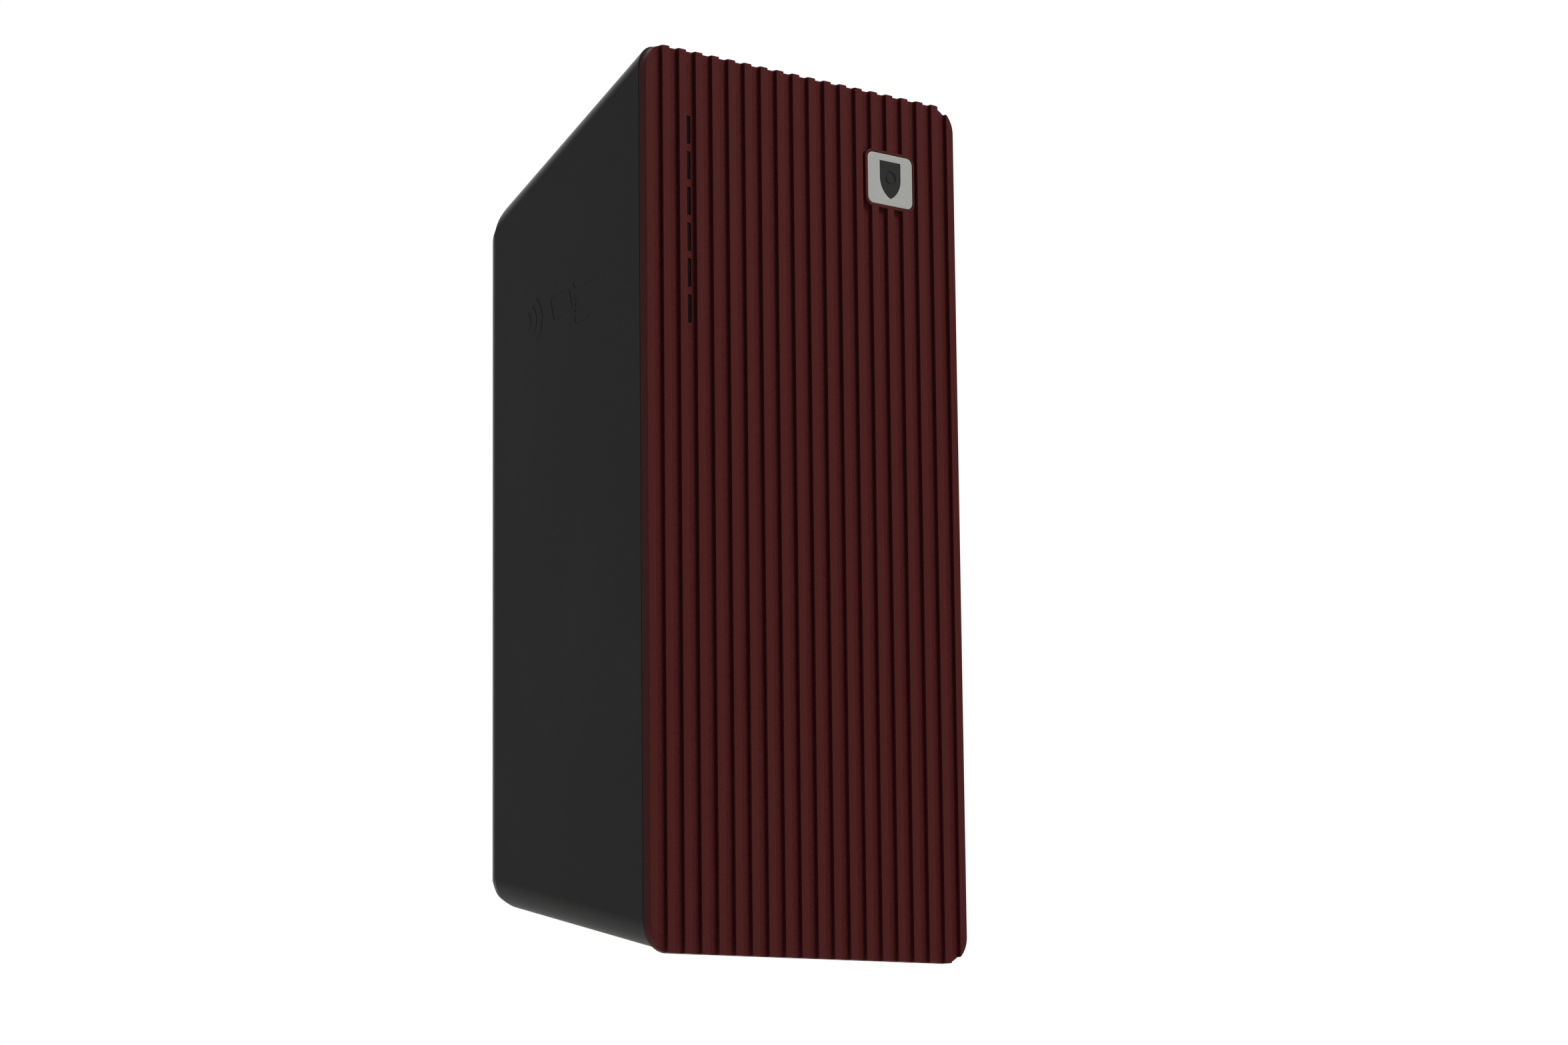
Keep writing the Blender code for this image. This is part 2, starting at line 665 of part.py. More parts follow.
def make_reset(plate):
    x, y = RESET_AXIS.x, RESET_AXIS.y
    top = PLATE_BASE + 0.006
    shaft = rods("reset_button", 16, ((x, y, PLATE_BASE - 0.0005), (x, y, top), 0.0018))
    button = piece("reset_button", shaft, BLACK)
    collar = ((x, y, PLATE_TOP + 0.0015), (x, y, PLATE_TOP + 0.0027), 0.0028)
    join(button, rods("button_collar", 16, collar))
    low, high = plate_depth(0.003)
    cut(plate, rods("button_hole", 16, ((x, y, low), (x, y, high), 0.0022)))
    low = top + PRESS + GAP
    switch = boxes("reset_switch", around(RESET_AXIS, 0.003, 0.003, (low, low + 0.0045)))
    return button, piece("reset_switch", switch, CHIP)


def make_earth_screw(plate):
    x, y = EARTH_AXIS.x, EARTH_AXIS.y
    low, high = plate_depth(0.003)
    cut(plate, rods("earth_hole", 12, ((x, y, low), (x, y, high), 0.0024)))
    profile = screw_profile(0.004, 0.0026, 0.002, 0.008)
    return turned("earth_screw", profile, STEEL, (x, y, PLATE_BASE - GAP), FACING_DOWN)


def make_main_board():
    back = BOARD_FRONT + BOARD_THICKNESS
    sheet = boxes("main_board", beside(0, BOARD_HALF, (BOARD_FRONT, back), (BOARD_BOTTOM, BOARD_TOP)))
    board = piece("main_board", sheet, BOARD)
    holes = [((x, BOARD_FRONT - BEYOND, z), (x, back + 0.003, z), 0.0016) for x, z in board_screw_places()]
    cut(board, rods("board_holes", 10, *holes))
    root = BOARD_FRONT + 0.001
    lead_header = ((-0.044, BOARD_FRONT - 0.006, 0.008), (-0.028, root, 0.014))
    power_header = ((0.052, BOARD_FRONT - 0.009, 0.004), (0.068, root, 0.014))
    join(board, boxes("board_headers", lead_header, power_header))
    made = [board]
    for i, (x, z) in enumerate(board_screw_places(), 1):
        profile = screw_profile(0.0027, 0.0018, 0.00125, 0.007)
        place = (x, BOARD_FRONT - GAP, z)
        made.append(turned(f"board_screw_{i}", profile, STEEL, place, FACING_FRONT, steps=10))
    return made


def make_heatsink(front):
    """The processor on the main board's face and the finned heatsink on the processor."""
    top = front - 0.0024
    chip = piece("processor", boxes("processor", ((-0.0375, top, -0.0675), (-0.0025, front, -0.0325))), CHIP)
    back = top - GAP
    block = boxes("heatsink", ((-0.050, back - 0.024, -0.080), (0.010, back, -0.020)))
    sink = piece("heatsink", block, ALUMINIUM)
    channels = []
    for i in range(8):
        left = -0.050 + 0.0022 + i * 0.0072
        channels.append(((left, back - 0.03, -0.09), (left + 0.0050, back - 0.005, -0.01)))
    cut(sink, boxes("fin_channels", *channels))
    return [chip, sink]


def make_memory(front):
    shell = boxes("memory_socket", ((0.0135, front - 0.0055, -0.070), (0.0785, front, -0.063)))
    holder = piece("memory_socket", shell, BLACK)
    slot = ((0.0150, front - 0.0042, -0.066), (0.0770, front - 0.0022, -0.050))
    cut(holder, boxes("memory_slot", slot))
    card = boxes("memory_module", ((0.0153, front - 0.0037, -0.0657), (0.0767, front - 0.0027, -0.035)))
    memory = piece("memory_module", card, BOARD)
    chips = []
    for i in range(4):
        left = 0.020 + i * 0.014
        chips.append(((left, front - 0.0047, -0.057), (left + 0.011, front - 0.0030, -0.043)))
    join(memory, boxes("memory_chips", *chips))
    return [holder, memory]


def make_storage(front):
    card = boxes("storage_module", ((-0.078, front - 0.0030, -0.060), (-0.056, front - 0.0020, 0.012)))
    drive = piece("storage_module", card, BOARD)
    face = (front - 0.0045, front - 0.0025)
    chips = [beside(-0.067, 0.0085, face, heights) for heights in ((-0.050, -0.030), (-0.022, -0.002))]
    join(drive, boxes("storage_chips", *chips))
    plug = beside(-0.067, 0.011, (front - 0.0040, front), (-0.066, -0.058))
    join(drive, boxes("storage_connector", plug))
    return drive


def make_cell(front):
    x = 0.030
    ring = rods("cell_holder", 24, ((x, front, 0), (x, front - 0.0036, 0), 0.0120))
    holder = piece("cell_holder", ring, BLACK)
    seat = ((x, front - 0.0012, 0), (x, front - 0.02, 0), 0.0104)
    cut(holder, rods("cell_seat", 24, seat))
    disc = rods("coin_cell", 24, ((x, front - 0.0015, 0), (x, front - 0.0047, 0), 0.0100))
    return [holder, piece("coin_cell", disc, STEEL)]


def make_board_parts():
    front = BOARD_FRONT - GAP
    return make_heatsink(front) + make_memory(front) + [make_storage(front)] + make_cell(front)


def make_power_supply():
    back = REAR_INSIDE - 0.0034  # clear of the hooks' tips
    case = slab("power_supply", (-0.060, back - 0.032, 0.046), (0.040, back, 0.140), "Y", 0.003, 2)
    supply = piece("power_supply", case, SATIN)
    join(supply, boxes("supply_terminals", ((-0.010, back - 0.030, 0.036), (0.030, back - 0.014, 0.047))))
    return supply


def make_fan():
    x, y, z = FAN_CENTRE
    half = 0.030
    low = FAN_CENTRE - Vector((0.0075, half, half))
    high = FAN_CENTRE + Vector((0.0075, half, half))
    frame = piece("fan_frame", slab("fan_frame", low, high, "X", 0.004, 3), BLACK)
    cut(frame, rods("fan_bore", 32, ((low.x - 0.01, y, z), (high.x + 0.01, y, z), 0.0285)))
    join(frame, rods("motor_plate", 24, ((high.x - 0.0016, y, z), (high.x, y, z), 0.0135)))
    arms = [
        ((high.x - 0.0016, y - 0.0295, z - 0.0015), (high.x, y - 0.012, z + 0.0015)),
        ((high.x - 0.0016, y + 0.012, z - 0.0015), (high.x, y + 0.0295, z + 0.0015)),
        ((high.x - 0.0016, y - 0.0015, z - 0.0295), (high.x, y + 0.0015, z - 0.012)),
        ((high.x - 0.0016, y - 0.0015, z + 0.012), (high.x, y + 0.0015, z + 0.0295)),
    ]
    join(frame, boxes("fan_arms", *arms))

    hub_front = x - 0.0060
    hub_back = high.x - 0.0016 - 0.0006
    rotor = piece("fan_rotor", rods("fan_rotor", 24, ((hub_front, y, z), (hub_back, y, z), 0.0130)), BLACK)
    blades = bmesh.new()
    count = 7
    for i in range(count):
        verts = add_box(blades, (-0.0006, -0.0070, 0.0120), (0.0006, 0.0070, 0.0268))
        pitch = Matrix.Rotation(math.radians(50), 4, "Z")
        turn = Matrix.Rotation(math.tau * i / count, 4, "X")
        middle = Matrix.Translation(((hub_front + hub_back) / 2, y, z))
        bmesh.ops.transform(blades, matrix=middle @ turn @ pitch, verts=verts)
    join(rotor, mesh_of(blades, "fan_blades"))
    return frame, rotor


def make_reader():
    x, y, z = READER_CENTRE
    low = (x + 0.0004, y - 0.028, z - 0.020)
    high = (x + 0.0016, y + 0.028, z + 0.020)
    reader = piece("card_reader_board", boxes("card_reader_board", (low, high)), BOARD)
    chip = ((x + 0.001, y + 0.006, z - 0.016), (x + 0.0035, y + 0.016, z - 0.006))
    join(reader, boxes("reader_chip", chip))
    return reader


def make_leads():
    plug = BOARD_FRONT - 0.0055
    reader = READER_CENTRE
    return [
        lead(
            "light_lead",
            [
                (LIGHT_X, SHIELD_FRONT - 0.0014, 0.0845),
                (LIGHT_X, SHIELD_FRONT - 0.0012, 0.0795),
                (LIGHT_X, SHIELD_FRONT + 0.004, 0.0735),
                (LIGHT_X, -0.080, 0.060),
                (-0.055, -0.045, 0.040),
                (-0.042, -0.030, 0.022),
                (-0.040, -0.0235, 0.0146),
            ],
            0.0009,
        ),
        lead(
            "reader_lead",
            [
                (reader.x + 0.0030, reader.y + 0.012, reader.z - 0.0165),
                (reader.x + 0.0040, reader.y + 0.013, reader.z - 0.035),
                (-0.075, -0.034, 0.050),
                (-0.050, -0.030, 0.036),
                (-0.034, -0.026, 0.024),
                (-0.032, -0.0235, 0.0146),
            ],
            0.0012,
        ),
        lead(
            "board_power_lead",
            [
                (0.020, -0.036, 0.0354),
                (0.021, -0.036, 0.028),
                (0.036, -0.037, 0.022),
                (0.055, -0.036, 0.022),
                (0.060, -0.030, 0.0205),
                (0.060, plug, 0.0175),
                (0.060, plug, 0.0148),
            ],
            0.0016,
        ),
        lead(
            "mains_lead",
            [
                (INLET_AXIS.x, INLET_AXIS.y, PLATE_BASE + 0.0206),
                (INLET_AXIS.x, INLET_AXIS.y, -0.100),
                (0.052, -0.058, -0.070),
                (0.040, -0.062, -0.020),
                (0.020, -0.050, 0.015),
                (0.004, -0.036, 0.026),
                (0.002, -0.032, 0.0354),
            ],
            0.0022,
        ),
    ]


def hang(name, origin, parent, pieces):
    """Parents moving pieces to an empty that stands on their joint's axis."""
    empty = bpy.data.objects.new(name, None)
    PARTS.objects.link(empty)
    origin = Vector(origin)
    empty["origin"] = origin
    empty.parent = parent
    empty.location = origin - Vector(parent["origin"]) if parent else origin
    for obj in pieces:
        obj.parent = empty
        obj.location = obj.location - origin
    return empty


def main():
    make_wall_bracket()
    housing = make_rear_housing()
    plate = make_connector_plate()
    led_board, light_guide = make_lights()
    switch_frame, rocker = make_power_switch(plate)
    button, reset_switch = make_reset(plate)
    fan_frame, rotor = make_fan()
    appliance = [housing, plate, led_board, switch_frame, reset_switch, fan_frame]
    appliance += [make_gasket(), make_inner_cover(), make_power_supply(), make_reader()]
    appliance += [make_earth_screw(plate), make_power_inlet(plate)]
    appliance += make_cover_fasteners() + make_sockets(plate) + make_main_board() + make_board_parts()
    appliance += make_leads()
    body = hang("appliance_on_hooks", (0, REAR, 0), None, appliance)
    hang("front_cover_on_clips", (0, SEAM, 0), body, [make_front_cover(), light_guide, *make_badge()])
    hang("power_rocker_pivot", ROCKER_PIVOT, body, [rocker])
    hang("reset_button_slide", (RESET_AXIS.x, RESET_AXIS.y, PLATE_BASE), body, [button])
    hang("fan_axle", FAN_CENTRE, body, [rotor])


main()
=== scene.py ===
"""Finished look of a wall-hung security gateway, laid out as an add-on around its fixed frame.

Metres, +Z up. The front faces -Y and the wall is the plane Y = 0. Each piece has its own
operator, each finish its own function, and the sizes stand in property groups.
"""

import json
import math

import bmesh
import bpy
from mathutils import Matrix, Vector


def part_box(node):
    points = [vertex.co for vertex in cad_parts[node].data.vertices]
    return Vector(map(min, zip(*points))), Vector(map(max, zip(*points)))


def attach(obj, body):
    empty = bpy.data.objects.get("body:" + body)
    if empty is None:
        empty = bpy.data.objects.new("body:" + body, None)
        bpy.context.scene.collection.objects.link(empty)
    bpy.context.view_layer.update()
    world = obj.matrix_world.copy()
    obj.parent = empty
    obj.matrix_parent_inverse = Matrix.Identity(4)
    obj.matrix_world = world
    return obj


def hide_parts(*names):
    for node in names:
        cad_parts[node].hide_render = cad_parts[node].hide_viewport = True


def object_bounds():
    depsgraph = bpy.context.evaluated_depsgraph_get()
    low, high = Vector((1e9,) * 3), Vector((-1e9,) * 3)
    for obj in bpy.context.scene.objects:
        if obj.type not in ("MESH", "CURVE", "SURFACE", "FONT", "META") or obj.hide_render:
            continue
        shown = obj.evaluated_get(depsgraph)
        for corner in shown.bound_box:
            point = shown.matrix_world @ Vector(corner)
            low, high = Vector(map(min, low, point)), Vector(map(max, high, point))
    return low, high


bl_info = {
    "name": "Security Gateway Look",
    "version": (1, 0, 0),
    "blender": (4, 5, 0),
    "location": "View3D > Sidebar > Gateway",
    "description": "Builds the finished shells, lights, badge and materials of a wall-hung gateway",
    "category": "Object",
}

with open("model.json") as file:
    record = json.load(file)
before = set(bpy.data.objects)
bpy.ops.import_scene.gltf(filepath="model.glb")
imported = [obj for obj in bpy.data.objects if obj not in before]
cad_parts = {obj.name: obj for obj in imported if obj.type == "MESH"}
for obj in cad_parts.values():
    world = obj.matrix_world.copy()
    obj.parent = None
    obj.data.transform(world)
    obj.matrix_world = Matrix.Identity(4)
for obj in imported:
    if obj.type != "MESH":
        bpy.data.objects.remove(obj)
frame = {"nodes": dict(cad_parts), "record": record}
CAD_LOW, CAD_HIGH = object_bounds()
COVER_LOW, COVER_HIGH = (Vector(corner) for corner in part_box("front_cover"))
HOUSING_LOW, HOUSING_HIGH = (Vector(corner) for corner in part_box("rear_housing"))
BADGE_LOW, BADGE_HIGH = (Vector(corner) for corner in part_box("badge_plate"))
GUIDE_LOW, GUIDE_HIGH = (Vector(corner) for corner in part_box("light_guide"))
SINK_LOW, SINK_HIGH = (Vector(corner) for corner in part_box("heatsink"))
FAN_LOW, FAN_HIGH = (Vector(corner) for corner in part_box("fan_frame"))
HALF = COVER_HIGH.x
FRONT = COVER_LOW.y
TOP = COVER_HIGH.z
BOTTOM = COVER_LOW.z
RIM = HOUSING_LOW.y
REAR = HOUSING_HIGH.y
GAP = 0.0003
NETWORK_JACKS = ("wan_jack", "lan_jack_1", "lan_jack_2", "lan_jack_3")


# --- settings ---------------------------------------------------------------------------


def length(name, default, description):
    return bpy.props.FloatProperty(
        name=name, default=default, description=description, unit="LENGTH", precision=5
    )


def shade(name, default, description):
    return bpy.props.FloatVectorProperty(
        name=name, default=default, description=description, subtype="COLOR", size=3, min=0.0, max=1.0
    )


class CoverSettings(bpy.types.PropertyGroup):
    ribs: bpy.props.IntProperty(name="Ribs", default=20, min=2, description="Upright ribs across the cover")
    pitch: length("Rib pitch", 0.0094, "Distance from one rib to the next")
    width: length("Rib width", 0.0042, "Width of a rib")
    depth: length("Groove depth", 0.0023, "Depth of the grooves between ribs")
    thickness: length("Thickness", 0.0046, "From the tops of the ribs to the seam")
    corner: length("Corner radius", 0.012, "Radius of the cover's four corners")
    edge: length("Edge radius", 0.00035, "Rounding of the ribs' edges")
    foot: length("Foot radius", 0.0006, "Fillet at the foot of each rib")
    draft: length("Draft", 0.00005, "Lean of a rib's walls")
    colour: shade("Colour", (0.063, 0.0080, 0.0080), "Wine-red powder coat")


class LightSettings(bpy.types.PropertyGroup):
    count: bpy.props.IntProperty(name="Windows", default=6, min=1, description="Light windows in the groove")
    groove: bpy.props.IntProperty(
        name="Groove", default=3, min=1, description="Groove that holds them, from the left"
    )
    length: length("Length", 0.0124, "Height of a window's slot")
    width: length("Width", 0.0024, "Width of a window's slot")
    pitch: length("Pitch", 0.0158, "Distance from one window to the next")
    drop: length("Drop", 0.0286, "From the cover's top to the first slot")


class BadgeSettings(bpy.types.PropertyGroup):
    rim: length("Rim", 0.0014, "Width of the raised red rim round the badge")
    recess: length("Recess", 0.0018, "Depth of the badge's pocket")
    radius: length("Corner radius", 0.0032, "Corner radius of the badge")
    colour: shade("Colour", (0.40, 0.405, 0.378), "Warm satin grey")


class HousingSettings(bpy.types.PropertyGroup):
    top_slope: bpy.props.FloatProperty(
        name="Top slope", default=0.543, description="Fall of the top per metre"
    )
    base_slope: bpy.props.FloatProperty(
        name="Base slope", default=0.235, description="Rise of the underside per metre"
    )
    base_step: length("Underside step", 0.0013, "From the cover's lower edge up to the underside's start")
    top_corner: length("Upper long edges", 0.009, "Rounding of the two upper long edges")
    corner: length("Lower long edges", 0.012, "Rounding of the two lower long edges")
    rear_top: length("Rear top", 0.0190, "Rounding of the rear top edge")
    rear_base: length("Rear base", 0.0087, "Rounding of the rear bottom edge")
    rear_side: length("Rear sides", 0.006, "Rounding of the rear upright edges")
    wall: length("Wall", 0.0028, "Wall thickness")
    colour: shade("Colour", (0.0175, 0.0175, 0.0171), "Charcoal moulding")


class MarkSettings(bpy.types.PropertyGroup):
    behind: length("Behind the front", 0.060, "From the tops of the ribs back to the mark's centre")
    drop: length("Drop", 0.107, "From the cover's top down to the mark's centre")
    stroke: length("Stroke", 0.00050, "Radius of the engraving tool")
    depth: length("Depth", 0.00022, "Depth of the engraving")


class StageSettings(bpy.types.PropertyGroup):
    azimuth: bpy.props.FloatProperty(name="Azimuth", default=math.radians(41.706), subtype="ANGLE",
                                     description="Heading of the view, from +Y towards +X")
    rise: bpy.props.FloatProperty(name="Rise", default=math.radians(9.099), subtype="ANGLE",
                                  description="How far the view looks up")
    roll: bpy.props.FloatProperty(name="Roll", default=math.radians(-0.6245), subtype="ANGLE",
                                  description="Turn of the camera about its own axis")
    distance: length("Distance", 1.8553, "From the camera to the plane of the object's centre")
    aim_right: length("Aim right", 0.0262, "Aim point, right of the object's centre")
    aim_up: length("Aim up", 0.0011, "Aim point, above the object's centre")
    lens: bpy.props.FloatProperty(name="Lens", default=95.5, description="Focal length in millimetres")
    floor: length("Floor", -0.62, "Height of the floor")


GROUPS = {
    "gateway_cover": CoverSettings,
    "gateway_lights": LightSettings,
    "gateway_badge": BadgeSettings,
    "gateway_housing": HousingSettings,
    "gateway_mark": MarkSettings,
    "gateway_stage": StageSettings,
}


# --- mesh helpers -----------------------------------------------------------------------


def mesh_of(bm, name):
    """The bmesh as a mesh with its faces pointing out."""
    bmesh.ops.recalc_face_normals(bm, faces=bm.faces)
    mesh = bpy.data.meshes.new(name)
    bm.to_mesh(mesh)
    bm.free()
    return mesh


def add_box(bm, low, high):
    low = Vector(low)
    high = Vector(high)
    verts = bmesh.ops.create_cube(bm, size=1.0)["verts"]
    bmesh.ops.scale(bm, vec=high - low, verts=verts)
    bmesh.ops.translate(bm, vec=(high + low) / 2, verts=verts)
    return verts


def boxes(name, corners):
    """One mesh with a box for each (low, high)."""
    bm = bmesh.new()
    for low, high in corners:
        add_box(bm, low, high)
    return mesh_of(bm, name)


def slab(name, low, high, axis, radius, edge=0.0, segments=10):
    """A box with rounded edges along one axis, and with its end outlines softened."""
    bm = bmesh.new()
    add_box(bm, low, high)
    index = "XYZ".index(axis)
    along = [e for e in bm.edges if abs(e.verts[0].co[index] - e.verts[1].co[index]) > 1e-6]
    bmesh.ops.bevel(bm, geom=along, offset=radius, segments=segments, profile=0.5, affect="EDGES")
    if edge:
        ends = [e for e in bm.edges if abs(e.verts[0].co[index] - e.verts[1].co[index]) < 1e-7]
        bmesh.ops.bevel(bm, geom=ends, offset=edge, segments=3, profile=0.5, affect="EDGES")
    return mesh_of(bm, name)


def rods(name, spans, segments=32):
    """One mesh with a cylinder for each (start, end, radius)."""
    bm = bmesh.new()
    for start, end, radius in spans:
        start = Vector(start)
        end = Vector(end)
        turn = Vector((0, 0, 1)).rotation_difference(end - start).to_matrix().to_4x4()
        bmesh.ops.create_cone(
            bm,
            cap_ends=True,
            segments=segments,
            radius1=radius,
            radius2=radius,
            depth=(end - start).length,
            matrix=Matrix.Translation((start + end) / 2) @ turn,
        )
    return mesh_of(bm, name)


def arc(centre, radius, start, end, steps):
    """Points on an arc, with angles in degrees."""
    angles = [math.radians(start + (end - start) * i / steps) for i in range(steps + 1)]
    return [(centre[0] + radius * math.cos(a), centre[1] + radius * math.sin(a)) for a in angles]


def new_object(name, mesh):
    obj = bpy.data.objects.new(name, mesh)
    bpy.context.scene.collection.objects.link(obj)
    return obj


def bake(obj):
    """Turns an object's live modifiers into its plain mesh."""
    graph = bpy.context.evaluated_depsgraph_get()
    mesh = bpy.data.meshes.new_from_object(obj.evaluated_get(graph))
    obj.modifiers.clear()
    obj.data = mesh
    return obj


def combine(obj, meshes, operation):
    """Cuts or joins meshes with EXACT Booleans, and leaves a plain mesh."""
    helpers = []
    for mesh in meshes:
        helper = new_object(mesh.name + "_helper", mesh)
        modifier = obj.modifiers.new(mesh.name, "BOOLEAN")
        modifier.object = helper
        modifier.operation = operation
        helpers.append(helper)
    bpy.context.view_layer.update()
    bake(obj)
    for helper in helpers:
        bpy.data.objects.remove(helper, do_unlink=True)
    return obj


def cut(obj, *meshes):
    return combine(obj, meshes, "DIFFERENCE")


def join(obj, *meshes):
    return combine(obj, meshes, "UNION")


def complete(obj, material, body, replaced=(), angle=32):
    """Shades a finished piece, gives it its finish and hangs it on its body."""
    obj.data.materials.clear()
    obj.data.materials.append(material)
    obj.data.shade_smooth()
    obj.data.set_sharp_from_angle(angle=math.radians(angle))
    weigh = obj.modifiers.new("large_faces_stay_flat", "WEIGHTED_NORMAL")
    weigh.keep_sharp = True
    weigh.weight = 100
    bpy.context.view_layer.update()
    bake(obj)
    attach(obj, body)
    if replaced:
        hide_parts(*replaced)
    return obj


def stroke(name, points, radius, closed=False):
    """A round-ended tube along points, as a closed mesh."""
    curve = bpy.data.curves.new(name, "CURVE")
    curve.dimensions = "3D"
    curve.bevel_depth = radius
    curve.bevel_resolution = 4
    curve.use_fill_caps = True
    spline = curve.splines.new("POLY")
    spline.points.add(len(points) - 1)
    for point, place in zip(spline.points, points):
        point.co = (*place, 1)
    spline.use_cyclic_u = closed
    guide = new_object(name, curve)
    graph = bpy.context.evaluated_depsgraph_get()
    mesh = bpy.data.meshes.new_from_object(guide.evaluated_get(graph))
    bpy.data.objects.remove(guide, do_unlink=True)
    bm = bmesh.new()
    bm.from_mesh(mesh)
    bmesh.ops.remove_doubles(bm, verts=bm.verts, dist=1e-6)
    bpy.data.meshes.remove(mesh)
    return mesh_of(bm, name)


def prism(name, points, low, high):
    """A flat outline of (x, z) points, drawn out in Y from low to high."""
    bm = bmesh.new()
    ring = [bm.verts.new((x, low, z)) for x, z in points]
    face = bm.faces.new(ring)
    grown = bmesh.ops.extrude_face_region(bm, geom=[face])["geom"]
    verts = [item for item in grown if isinstance(item, bmesh.types.BMVert)]
    bmesh.ops.translate(bm, vec=(0, high - low, 0), verts=verts)
    return mesh_of(bm, name)


# --- geometry nodes ---------------------------------------------------------------------


def row_tree():
    """Rows of one object: count by rows, each step given as a vector, realised, with a material."""
    name = "rows_of_a_piece"
    if name in bpy.data.node_groups:
        return bpy.data.node_groups[name]
    tree = bpy.data.node_groups.new(name, "GeometryNodeTree")
    sockets = (
        ("Piece", "NodeSocketObject"),
        ("Count", "NodeSocketInt"),
        ("Step", "NodeSocketVector"),
        ("Rows", "NodeSocketInt"),
        ("Row Step", "NodeSocketVector"),
        ("Start", "NodeSocketVector"),
        ("Material", "NodeSocketMaterial"),
    )
    for label, kind in sockets:
        tree.interface.new_socket(label, in_out="INPUT", socket_type=kind)
    tree.interface.new_socket("Geometry", in_out="OUTPUT", socket_type="NodeSocketGeometry")
    given = tree.nodes.new("NodeGroupInput")
    out = tree.nodes.new("NodeGroupOutput")
    info = tree.nodes.new("GeometryNodeObjectInfo")
    tree.links.new(given.outputs["Piece"], info.inputs["Object"])
    realised = info.outputs["Geometry"]
    for count, step, start in (("Count", "Step", None), ("Rows", "Row Step", "Start")):
        line = tree.nodes.new("GeometryNodeMeshLine")
        line.mode = "OFFSET"
        tree.links.new(given.outputs[count], line.inputs["Count"])
        tree.links.new(given.outputs[step], line.inputs["Offset"])
        if start:
            tree.links.new(given.outputs[start], line.inputs["Start Location"])
        placed = tree.nodes.new("GeometryNodeInstanceOnPoints")
        tree.links.new(line.outputs["Mesh"], placed.inputs["Points"])
        tree.links.new(realised, placed.inputs["Instance"])
        made = tree.nodes.new("GeometryNodeRealizeInstances")
        tree.links.new(placed.outputs["Instances"], made.inputs["Geometry"])
        realised = made.outputs["Geometry"]
    painted = tree.nodes.new("GeometryNodeSetMaterial")
    tree.links.new(realised, painted.inputs["Geometry"])
    tree.links.new(given.outputs["Material"], painted.inputs["Material"])
    tree.links.new(painted.outputs["Geometry"], out.inputs["Geometry"])
    return tree


def rows(name, mesh, material, start, count, step, row_count=1, row_step=(0, 0, 0)):
    """Repeats a mesh in rows with Geometry Nodes, and returns one plain object."""
    source = new_object(name + "_source", mesh)
    obj = new_object(name, bpy.data.meshes.new(name))
    modifier = obj.modifiers.new("rows", "NODES")
    modifier.node_group = row_tree()
    values = {
        "Piece": source,
        "Count": count,
        "Step": step,
        "Rows": row_count,
        "Row Step": row_step,
        "Start": start,
        "Material": material,
    }
    for item in modifier.node_group.interface.items_tree:
        if item.in_out == "INPUT":
            modifier[item.identifier] = values[item.name]
    bpy.context.view_layer.update()
    bake(obj)
    bpy.data.objects.remove(source, do_unlink=True)
    return obj


# --- shader groups and finishes ----------------------------------------------------------


def shader_group(name, inputs, outputs):
    """An empty shader group with its sockets, and its input and output nodes."""
    tree = bpy.data.node_groups.new(name, "ShaderNodeTree")
    for label, kind, default in inputs:
        socket = tree.interface.new_socket(label, in_out="INPUT", socket_type=kind)
        socket.default_value = default
    for label, kind in outputs:
        tree.interface.new_socket(label, in_out="OUTPUT", socket_type=kind)
    return tree, tree.nodes.new("NodeGroupInput"), tree.nodes.new("NodeGroupOutput")


def wire(tree, pairs):
    for source, target in pairs:
        tree.links.new(source, target)


def noise(tree, vector, scale, detail, roughness=0.55):
    """A noise texture whose scale may be a number or a socket."""
    made = tree.nodes.new("ShaderNodeTexNoise")
    made.inputs["Detail"].default_value = detail
    made.inputs["Roughness"].default_value = roughness
    tree.links.new(vector, made.inputs["Vector"])
    if isinstance(scale, bpy.types.NodeSocket):
        tree.links.new(scale, made.inputs["Scale"])
    else:
        made.inputs["Scale"].default_value = scale
    return made.outputs["Fac"]


def maths(tree, operation, first, second, clamp=False):
    made = tree.nodes.new("ShaderNodeMath")
    made.operation = operation
    made.use_clamp = clamp
    for socket, value in zip(made.inputs, (first, second)):
        if isinstance(value, bpy.types.NodeSocket):
            tree.links.new(value, socket)
        else:
            socket.default_value = value
    return made.outputs[0]


def remap(tree, value, low, high, to_low=0.0, to_high=1.0):
    made = tree.nodes.new("ShaderNodeMapRange")
    made.inputs["From Min"].default_value = low
    made.inputs["From Max"].default_value = high
    made.inputs["To Min"].default_value = to_low
    made.inputs["To Max"].default_value = to_high
    tree.links.new(value, made.inputs["Value"])
    return made.outputs["Result"]


def tint(tree, mask, first, second):
    """One colour turning to another by a mask."""
    made = tree.nodes.new("ShaderNodeMix")
    made.data_type = "RGBA"
    made.inputs["A"].default_value = (*first, 1)
    made.inputs["B"].default_value = (*second, 1)
    tree.links.new(mask, made.inputs["Factor"])
    return made.outputs["Result"]


